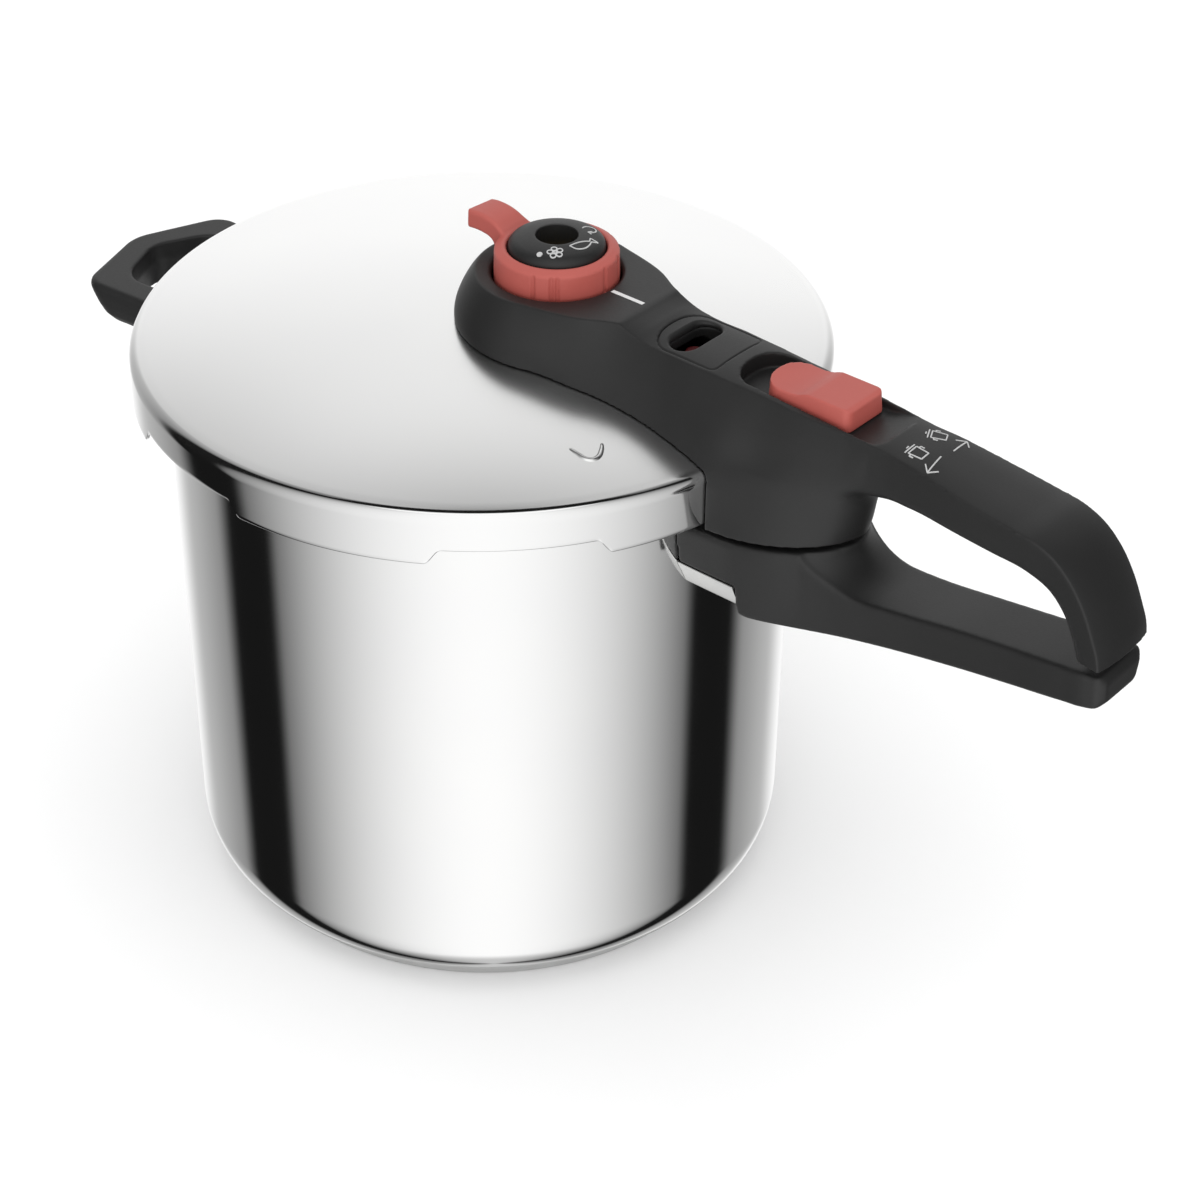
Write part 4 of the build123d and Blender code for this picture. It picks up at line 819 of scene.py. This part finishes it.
def grip_solid():
    """The arched grip: at each step along its crease and under lines, a section with a crowned top,
    sides that lean in and rounded lower corners."""
    steps = 150
    edge = curve([(x, z) for x, z in EDGE_LINE if x >= GRIP_START], steps)
    under = curve(UNDER_LINE, steps)
    rise = edge - under
    height = np.linalg.norm(rise, axis=1)
    up = rise / height[:, None]
    wide = eased(EDGE_HALF_WIDTH, edge[:, 0])
    over = np.linspace(1, -1, 17)[1:-1]
    sections = []
    for step in range(steps):
        half, tall = wide[step], height[step]
        sides = rounded([(-half, tall, 0.05), (-half + GRIP_DRAFT, 0.0, GRIP_ROUND),
                         (half - GRIP_DRAFT, 0.0, GRIP_ROUND), (half, tall, 0.05)], 8)
        top = np.column_stack([over * half, tall + CROWN * (1 - np.abs(over) ** CROWN_POWER)])
        section = np.concatenate([sides, top])
        ring = under[step] + section[:, 1:] * up[step]
        sections.append(np.column_stack([ring[:, 0], section[:, 0], ring[:, 1]]))
    return stacked(sections)


def handle_hollows():
    """What is open below the lid handle: the lid with a gap, and the rooms over it in the head and
    in the neck."""
    lid = np.concatenate([[(0, FIXING_LOW), (LID_RADIUS + GAP, FIXING_LOW)], lid_line(GAP)[::-1]])
    foot = np.array(NECK_ROOM_FOOT)
    roof = np.array(NECK_ROOM_ROOF)
    rings = [at_height(np.concatenate([side, side[::-1] * [1, -1]]), height)
             for height, side in ((ROOM_LOW, foot), (226, foot), (241.6, roof))]
    return [turned(lid, 240), turned(HEAD_ROOM, 72, x=DIAL_X), stacked(rings),
            shaft(SAFETY_X, (ROOM_LOW, 8.0), (243.4, 8.0))]


def make_lid_handle():
    """The lid handle: head, neck and grip joined, with the dial well, the plate's bed, the slot,
    the button track and the rooms of the inner pieces cut out, and its edges rounded."""
    heights = np.concatenate([[FOOT_LOW], np.arange(196.0, 254.0, 1.0)])
    outlines = [at_height(handle_outline(height), height) for height in heights]
    handle = mesh_object("lid_handle", [stacked(outlines)])
    carved(handle, [crown_cutter()])
    carved(handle, [grip_solid()], "UNION")
    carved(handle, handle_hollows())
    bed = bowed(PLATE_FRONT - GAP, PLATE_REAR + GAP, PLATE_HALF_WIDTH + GAP, bow=7.2, rear_radius=2.6)
    slot = stadium(INDICATOR_X, SLOT_HALF_WIDTH + 0.1, SLOT_HALF_LENGTH + 0.1)
    carved(handle, [below_parting(), turned(DIAL_WELL, 96, x=DIAL_X), raised(bed, BED_FLOOR, CUT_TOP),
                    raised(slot, SLOT_FLOOR, CUT_TOP)])
    front = WELL_FRONT - 1
    ramp = [(front, WELL_FLOOR), (WELL_REAR - WELL_RAMP, WELL_FLOOR),
            (WELL_REAR, top_height(WELL_REAR, 0.0) - 0.5), (WELL_REAR, CUT_TOP), (front, CUT_TOP)]
    track = mesh_object("track", [across(ramp, half_width=20.0)])
    outline = bowed(WELL_FRONT, WELL_REAR, WELL_HALF_WIDTH, WELL_BOW)
    carved(track, [raised(outline, low=230, high=270)], "INTERSECT")
    carved(handle, [mesh_parts(track)])
    carved(handle, [box(*STEM_ROOM), room("lock_bolt", ahead=LOCK_TRAVEL, high=-0.2),
                    room("lid_handle_bracket"), screw_room(LID_SCREW_X, FOOT_LOW, seat=199.8, end=207.4)])
    return softened(handle, voxel=0.42, rounds=7, keep=0.2, blend=NOSE_FILLET)


def make_plate():
    """The bare inlay over the indicator, with the cross slot, lying on the handle's top face."""
    outline = bowed(PLATE_FRONT, PLATE_REAR, PLATE_HALF_WIDTH, bow=7.0, rear_radius=2.4)
    plate = mesh_object("inlay", [raised(outline, PLATE_LOW, PLATE_LEVEL)])
    lip = bowed(PLATE_FRONT - PLATE_LIP, PLATE_REAR + PLATE_LIP, PLATE_HALF_WIDTH + PLATE_LIP,
                bow=7.2, rear_radius=2.8)
    carved(plate, [raised(lip, PLATE_LOW, PLATE_LEVEL - PLATE_GROOVE)], "UNION")
    slot = []
    for grow, rise in ((0.0, -8.0), (0.0, -1.2), (0.3, -0.5), (1.3, 0.3)):
        outline = stadium(INDICATOR_X, SLOT_HALF_WIDTH + grow, SLOT_HALF_LENGTH + grow)
        slot.append(at_height(outline, PLATE_LEVEL + rise))
    carved(plate, [stacked(slot)])
    soft = plate.modifiers.new("edges", "BEVEL")
    soft.width = 0.3 * METRE
    soft.segments = 3
    soft.limit_method = "ANGLE"
    remade(plate, 0.25)
    points, faces = mesh_parts(settled(plate))
    share = np.clip((points[:, 2] - PLATE_LOW) / (PLATE_LEVEL - PLATE_LOW), 0, 1)
    points[:, 2] += share * (top_height(points[:, 0], points[:, 1]) - PLATE_LEVEL - 0.06)
    return mesh_object("inlay", [(points, faces)], 50)


def make_selector_ring():
    """The dial's grip ring with shallow grooves, joined to a lever that rises steeply from the ring's
    lip, arches over to its tip and flares where it leaves the ring."""
    ring = mesh_object("dial_ring", [turned(rounded(RING_SECTION), 160, x=DIAL_X)])
    along = np.linspace(LEVER_START, LEVER_TIP, 60)
    widths, tops, lows = [eased(table, along) for table in (LEVER_WIDTH, LEVER_TOP, LEVER_UNDER)]
    sections = []
    for x, half, high, low in zip(along, widths, tops, lows):
        section = rounded([(-half, high, 1.4), (-half - 0.1, low, 1.1),
                           (half + 0.1, low, 1.1), (half, high, 1.4)])
        aside = section[:, 0]
        bow = (LEVER_BOW + LEVER_FAR_BOW * (aside > 0)) * np.abs(aside / LEVER_HALF) ** LEVER_BOW_POWER
        reach = x - bow * np.clip((x - LEVER_BOW_START) / LEVER_BOW_RUN, 0, 1)
        sections.append(np.column_stack([DIAL_X - reach, section]))
    carved(ring, [stacked(sections)], "UNION")
    carved(ring, [turned(RING_HOLE, 96, x=DIAL_X)])
    turns = np.radians(GROOVE_TURNS)
    middles = zip(DIAL_X + GROOVE_CIRCLE * np.cos(turns), GROOVE_CIRCLE * np.sin(turns))
    carved(ring, [turned(GROOVE_SECTION, 12, *middle) for middle in middles])
    return softened(ring, voxel=0.28, rounds=4, keep=0.6)


def cap_height(radius):
    """Dome of the dial cap by radius."""
    return eased(CAP_DOME, radius)


def make_selector_cap():
    """The dial's domed cap with the steam outlet, carried round."""
    dome = np.linspace(CAP_RADIUS, 8.0, 24)
    profile = np.concatenate([[(CAP_RADIUS, 250.0), (CAP_RADIUS, 256.0)],
                              np.column_stack([dome, cap_height(dome)]), CAP_INSIDE])
    return mesh_object("dial_cap", [turned(profile, 160, x=DIAL_X)])


def make_button():
    """The lock button: outlines with a bowed front that narrow towards the top, held under a side
    view with a thumb scoop, and the stem below, with its edges rounded."""
    outlines = [at_height(bowed(*BUTTON_FOOT), BUTTON_LOW), at_height(bowed(*BUTTON_CREST), BUTTON_HIGH + 1)]
    button = mesh_object("button", [stacked(outlines)])
    above = np.concatenate([curve(BUTTON_SCOOP, 30), BUTTON_REAR])
    carved(button, [across(above, half_width=14.0)])
    carved(button, [box(*STEM)], "UNION")
    return softened(button, voxel=0.34, rounds=4, keep=0.7)


def make_indicator_pin():
    """The pressure pin: a long stem and a rounded red head, carried round."""
    return mesh_object("pressure_pin", [turned(rounded(PIN_SECTION), 64, x=INDICATOR_X)])


def from_outline(outline, x, y):
    """Distance of points from a closed outline, less than nothing inside it: the nearest corner's,
    with its sign from the count of sides that a line from the point towards +X crosses."""
    point = np.stack([x, y], -1)[..., None, :]
    after = np.roll(outline, -1, 0)
    near = np.linalg.norm(point - outline, axis=-1).min(-1)
    spans = (outline[:, 1] > point[..., 1]) != (after[:, 1] > point[..., 1])
    run = (after - outline)[:, 0] / np.where(after[:, 1] == outline[:, 1], 1e-9, (after - outline)[:, 1])
    crossed = spans & (point[..., 0] < outline[:, 0] + run * (point[..., 1] - outline[:, 1]))
    return np.where(crossed.sum(-1) % 2 == 1, -near, near)


def main_top_height(x, y):
    """Top of the main handle: level with the parting inside its nose, and from there down to the grip
    in a hollow of d from the nose, top + rise (1 - sqrt(1 - (1 - d / reach)^2))."""
    away = from_outline(plan_outline(FOOT_NOSE, 400), x, y)
    left = 1 - np.clip(away / HOLLOW_REACH, 0, 1)
    hollow = eased(MAIN_TOP, x) + HOLLOW_RISE * (1 - np.sqrt(1 - left ** 2))
    return np.where(away < 0, np.inf, hollow).clip(max=parting_height(np.hypot(x, y)) - PARTING_GAP)


def make_main_handle():
    """The handle on the pot: a section carried along it, whose top follows the nose, the hollow behind
    it and the grip."""
    x = np.concatenate([np.linspace(106, 146, 20), np.linspace(146.4, 180, 96), np.linspace(182, 258, 40),
                        np.linspace(258.5, 263.8, 16)])
    over = np.linspace(1, -1, 61)
    wide, narrow = eased(MAIN_TOP_WIDTH, x), eased(MAIN_LOW_WIDTH, x)
    aside = over * (wide[:, None] - MAIN_EDGE)
    top = main_top_height(np.broadcast_to(x[:, None], aside.shape), aside)
    edge = arc((0, 0), MAIN_EDGE, 0, 90, 7)
    sections = []
    for place, low_half, under, y, z in zip(x, narrow, eased(MAIN_UNDER, x), aside, top):
        right = edge + (y[0], z[0] - MAIN_EDGE)
        left = edge[::-1] * (-1, 1) + (y[-1], z[-1] - MAIN_EDGE)
        low = rounded([(*left[-1], 0.01), (-low_half, under, MAIN_LOW_ROUND),
                       (low_half, under, MAIN_LOW_ROUND), (*right[0], 0.01)], 7)
        section = np.concatenate([low, right[1:], np.column_stack([y, z])[1:-1], left[:-1]])
        sections.append(np.column_stack([np.full(len(section), place), section]))
    handle = mesh_object("pot_handle", [stacked(sections)])
    carved(handle, [across(HEEL_CUT, half_width=40.0), pot_room(), box(*BRACKET_SEAT),
                    room("main_handle_bracket", low=-9.0, high=-9.8), box(*CATCH_ROOM),
                    screw_room(MAIN_SCREW_X, FIXING_LOW, seat=178.7, end=187.1)])
    return softened(handle, voxel=0.62, rounds=8)


def make_flame_guard():
    """The tray under the foot: a bent section of sheet between the pot wall and the handle."""
    section = rounded(GUARD_SECTION)
    wall = np.sqrt((POT_RADIUS + GAP) ** 2 - section[:, 0] ** 2)
    rings = [np.column_stack([wall + (HEEL_X - 0.1 - wall) * t, section]) for t in np.linspace(0, 1, 6)]
    return mesh_object("guard_tray", [stacked(rings)])


def make_helper_handle():
    """The helper handle: a spreading loop with a shallow V in its bar, drafted like a moulding."""
    def drafted(side, ways, levels, steps):
        """Outlines at their heights, with each corner moved its own way by the height's distance."""
        rings = []
        for distance, height in levels:
            corners = (np.array(side) + distance * np.array(ways)) * [-1, 1, 1]
            rings.append(at_height(rounded(both_sides(corners), steps), height))
        return stacked(rings)
    handle = mesh_object("side_loop", [drafted(HELPER_SIDE, HELPER_WAYS, HELPER_INSETS, 9)])
    carved(handle, [drafted(LOOP_SIDE, LOOP_WAYS, LOOP_FLARE, 8), pot_room(),
                    room("helper_handle_bracket", low=8.0)])
    return softened(handle, voxel=0.6, rounds=4, keep=0.6)


def ribbon(path, width, height, lift=0.2, sink=0.5):
    """A flat printed line: a thin section carried along a path in X and Y, lying on a height map."""
    path = np.array(path, float)
    along = np.gradient(path, axis=0)
    along /= np.linalg.norm(along, axis=1)[:, None] + 1e-9
    side = np.column_stack([-along[:, 1], along[:, 0]]) * width / 2
    edges = np.stack([path + side, path + side, path - side, path - side], 1)
    level = height(edges[..., 0], edges[..., 1]) + np.array([-sink, lift, lift, -sink])
    return stacked(np.concatenate([edges, level[..., None]], 2))


def line(start, end, count=8):
    """Points at even steps from one end to the other."""
    t = np.linspace(0, 1, count)[:, None]
    return np.array(start) * (1 - t) + np.array(end) * t


def strokes(corners):
    """Straight lines from each corner to the next."""
    return [line(start, end) for start, end in zip(corners[:-1], corners[1:])]


def make_cap_marks():
    """Printed signs on the dial cap: a dot, a flower of five rings, a fish and a round arrow."""
    def height(x, y):
        """Height of the cap at a place."""
        return cap_height(np.hypot(x - DIAL_X, y))
    middle = np.array([DIAL_X, 0.0])
    flower = (7.4, -9.3)
    petals = arc(flower, 1.75, 0, 360, 6)[:-1]
    back = [(8.6, -3.4), (11.2, -3.0), (12.7, -0.6), (12.4, 2.4), (11.6, 4.2)]
    fin = [back[-1], (13.0, 6.0), (9.9, 5.6), (11.0, 4.0)]
    belly = [fin[-1], (9.8, 2.0), (9.0, -0.6), back[0]]
    arrow = (6.5, 8.4)
    paths = [arc(petal, 0.95, 0, 360, 17) for petal in petals] + [arc(flower, 0.5, 0, 360, 13)]
    paths += [curve(back, 20), curve(belly, 16)] + strokes(fin)
    paths += [arc((5.4, 10.4), 2.3, -60, 210, 25), line(arrow, (8.2, 8.2)), line(arrow, (7.0, 10.0))]
    parts = [ribbon(path + middle, PRINT_WIDTH, height) for path in paths]
    dot = arc((3.9, -13.2), 0.5, 0, 360, 17)
    parts.append(ribbon(dot + middle, 0.98, height))
    return mesh_object("dial_signs", parts)


def make_head_mark():
    """The white mark on the head that the dial is set against."""
    return mesh_object("dial_mark", [ribbon(line((58.6, 0.2), (72.0, 0.2)), 1.6, top_height, lift=0.1)])


def make_grip_signs():
    """Two pot signs with arrows on the grip: close one way, open the other."""
    pot = np.array([(-2.6, -2.2), (2.2, -1.9), (2.2, 1.9), (-2.6, 2.2), (-2.6, -2.2)])
    knobs = [[(-1.6, side * 2.1), (-1.6, side * 3.1), (-0.2, side * 3.1)] for side in (-1, 1)]
    lid = [[(-3.6, -2.6), (-3.6, 2.6)], [(-4.4, -0.6), (-4.4, 0.6)]]
    paths = []
    close = ((187.6, -6.0), 0.0, (194.6, -11.6), (193.4, -2.6))
    open_up = ((186.6, 6.6), 0.45, (193.8, 11.2), (194.4, 2.8))
    for middle, turn, tip, tail in (close, open_up):
        spin = np.array([[np.cos(turn), -np.sin(turn)], [np.sin(turn), np.cos(turn)]])
        for shape in [pot] + knobs + lid:
            paths += strokes(np.array(shape) @ spin.T + middle)
        back = np.sign(tip[1]) * 2.6
        paths += strokes([tail, tip])
        paths += strokes([(tip[0] - 2.6, tip[1] - back), tip, (tip[0] + 2.4, tip[1] - back)])
    return mesh_object("grip_signs", [ribbon(path, PRINT_WIDTH, top_height) for path in paths])


def make_lid_mark():
    """The embossed tick on the lid: a round-ended ridge along a bent path."""
    path = curve([(83.1, -49.9), (86.8, -49.85), (90.2, -49.5), (91.7, -48.3), (92.1, -45.9), (90.9, -43.0),
                  (88.9, -40.3)], 40)
    along = np.gradient(path, axis=0)
    along /= np.linalg.norm(along, axis=1)[:, None]
    side = np.column_stack([-along[:, 1], along[:, 0]])
    fade = np.sin(np.linspace(0, np.pi, len(path)))[:, None] ** 0.25
    over = np.linspace(-1, 1, 9)
    ring = path[:, None] + side[:, None] * (TICK_HALF_WIDTH * over * fade)[..., None]
    level = lid_height(np.hypot(ring[..., 0], ring[..., 1]))
    z = level + TICK_RISE * fade * (1 - over ** 2) - TICK_SINK
    points = np.concatenate([ring, z[..., None]], 2)
    return mesh_object("lid_tick", [(points, quads(len(path), len(over)).tolist())], 60)


placed(make_pot(), "pot", STEEL, "steel", "pot_shell")
placed(make_base_cup(), "pot", STEEL, "steel", "base_cup")
placed(make_main_handle(), "pot", BLACK, "black_plastic", "main_handle")
placed(make_flame_guard(), "pot", PLAIN_STEEL, "plain_steel", "flame_guard")
placed(make_helper_handle(), "pot", BLACK, "black_plastic", "helper_handle")
placed(make_gasket(), "gasket", RUBBER, "seal_rubber", "lid_gasket")
placed(make_lid(), "lid", STEEL, "steel", "lid_shell")
placed(make_lid_mark(), "lid", STEEL, "steel")
placed(make_lid_handle(), "lid", BLACK, "black_plastic", "lid_handle_shell")
placed(make_plate(), "lid", BLACK, "black_plastic", "indicator_plate")
placed(make_head_mark(), "lid", WHITE, "black_plastic")
placed(make_grip_signs(), "lid", GREY, "black_plastic")
placed(make_selector_ring(), "selector", RED, "red_plastic", "selector_ring")
placed(make_selector_cap(), "selector", BLACK, "black_plastic", "selector_cap")
placed(make_cap_marks(), "selector", GREY, "black_plastic")
placed(make_button(), "lock", RED, "red_plastic", "lock_button")
placed(make_indicator_pin(), "indicator", SHADED_PIN_RED, "red_plastic", "indicator_pin")

# Looks of the nodes that keep their own shape
LOOK_OF_SLOT = {"steel": STEEL, "plain_steel": PLAIN_STEEL, "aluminium": PLAIN_STEEL, "brass": BRASS,
                "black_plastic": BLACK, "red_plastic": RED, "seal_rubber": RUBBER}
for entry in frame["record"]["subparts"]:
    node = frame["nodes"].get(entry["node"])
    if node is not None and node.data is not None:
        node.data.materials.clear()
        node.data.materials.append(LOOK_OF_SLOT[entry["material_slot"]])

# The studio: where the camera stands, and how its surround is shared between white and dark
CAMERA_TURN = 40.0
CAMERA_TILT = 34.9
CAMERA_ROLL = 0.65
CAMERA_PLACE = (576.15, -621.18, 689.89)
FLOOR_REACH = 3000.0
FOOT_SHADE_RADIUS = 104.0
FOOT_SHADE_SIDES = 96
LENS = 82.53
SENSOR = 36.0
LIGHT_TURN = -49.2

# Edges of the lit parts of the surround, each as a place and its softness to either side, and the lamps'
# names, sizes, powers and places in metres
FRONT_EDGE = (0.115, 0.06)
BACK_EDGE = (0.345, 0.09)
BACK_CORE = (0.85, 0.12)
BACK_RISE = (0.45, 0.25)
BACK_TOP = (0.86, 0.09)
GROUND_EDGE = (-0.93, 0.05)
OVERHEAD_EDGE = (0.925, 0.012)
OVERHEAD_FRONT = (0.10, 0.06)
LAMPS = [("softbox", 2.0, 9.0, (0.0, -0.1, 1.8)), ("fill", 1.2, 11.0, (1.02, -1.17, 0.32))]


def plain(name, value):
    """A flat grey material for the studio."""
    made = bpy.data.materials.new(name)
    made.use_nodes = True
    shader = made.node_tree.nodes["Principled BSDF"]
    shader.inputs["Base Color"].default_value = (value, value, value, 1)
    shader.inputs["Roughness"].default_value = 0.9
    shader.inputs["Specular IOR Level"].default_value = 0.0
    return made


def make_floor():
    """A wide white floor with the object's shadow. The steel mirrors the studio's surround in its
    place, and a grey disc under the base that only mirrored rays see: painted shade that stands in for
    the shadow under the pot."""
    corners = np.array([(-1, -1), (1, -1), (1, 1), (-1, 1)]) * FLOOR_REACH
    floor = mesh_object("floor", [(at_height(corners, -0.05), [[0, 1, 2, 3]])])
    floor.data.materials.append(plain("floor", 0.92))
    floor.visible_glossy = False
    # Painted shade: a grey disc, seen only in reflections, standing in for the pot's shadow under its base.
    ring = arc((0, 0), FOOT_SHADE_RADIUS, 0, 360, FOOT_SHADE_SIDES + 1)[:-1]
    disc = mesh_object("foot_shade", [(at_height(ring, -0.04), [list(range(FOOT_SHADE_SIDES))])])
    disc.data.materials.append(plain("foot_shade", 0.55))
    disc.visible_camera = False
    disc.visible_diffuse = False
    disc.visible_shadow = False


def make_light():
    """A white studio. Mirrored in the steel, it is brightest before and behind the object, dark at
    both sides and dark overhead, from behind the object to above it."""
    world = bpy.data.worlds.new("studio")
    bpy.context.scene.world = world
    world.use_nodes = True
    root = Shade(world.node_tree)
    x, y, z = root.node("TexCoord", out=0).split()
    forth = np.cos(np.radians([LIGHT_TURN, LIGHT_TURN - 90]))
    towards = x * forth[0] + y * forth[1]
    level = root.sum("SQRT", x * x + y * y + 1e-6)
    share = root.sum("ABSOLUTE", towards) / level
    before = share * share.over(*FRONT_EDGE)
    behind = share * share.over(*BACK_EDGE) * (0.62 + 0.38 * share.over(*BACK_CORE))
    behind = behind * (1 - 0.16 * z.over(*BACK_RISE)) * (1 - 0.42 * z.over(*BACK_TOP))
    around = (behind + towards.over(0.0, 0.01) * (before - behind)) * (0.55 + 0.45 * z.over(*GROUND_EDGE))
    overhead = z.over(*OVERHEAD_EDGE)
    front = towards.over(*OVERHEAD_FRONT)
    mirrored = 0.008 + around + overhead * (front - around)
    shown = root.node("LightPath", out=3).mix((1, 1, 1, 1), mirrored)
    back = world.node_tree.nodes["Background"]
    world.node_tree.links.new(shown.socket, back.inputs["Color"])
    back.inputs["Strength"].default_value = 1.0
    for name, size, energy, place in LAMPS:
        lamp = bpy.data.lights.new(name, "AREA")
        lamp.size = size
        lamp.energy = energy
        holder = bpy.data.objects.new(name, lamp)
        bpy.context.scene.collection.objects.link(holder)
        holder.location = place
        holder.rotation_euler = Vector(place).to_track_quat("Z", "Y").to_euler()
        holder.visible_camera = False
        holder.visible_glossy = False


def make_camera():
    """The photograph's view: lens, place and the small roll of the frame."""
    lens = bpy.data.cameras.new("camera")
    lens.sensor_width = SENSOR
    lens.lens = LENS
    lens.clip_start = 0.01
    camera = bpy.data.objects.new("camera", lens)
    bpy.context.scene.collection.objects.link(camera)
    turn, tilt, roll = np.radians([CAMERA_TURN, CAMERA_TILT, CAMERA_ROLL])
    ahead = np.array([-np.sin(turn) * np.cos(tilt), np.cos(turn) * np.cos(tilt), -np.sin(tilt)])
    right = np.array([np.cos(turn), np.sin(turn), 0.0])
    up = np.cross(right, ahead)
    right, up = right * np.cos(roll) + up * np.sin(roll), up * np.cos(roll) - right * np.sin(roll)
    place = np.eye(4)
    place[:3, 0], place[:3, 1], place[:3, 2] = right, up, -ahead
    place[:3, 3] = np.array(CAMERA_PLACE) * METRE
    camera.matrix_world = Matrix(place.tolist())
    bpy.context.scene.camera = camera


make_floor()
make_light()
make_camera()
bpy.context.scene.view_settings.view_transform = "Standard"
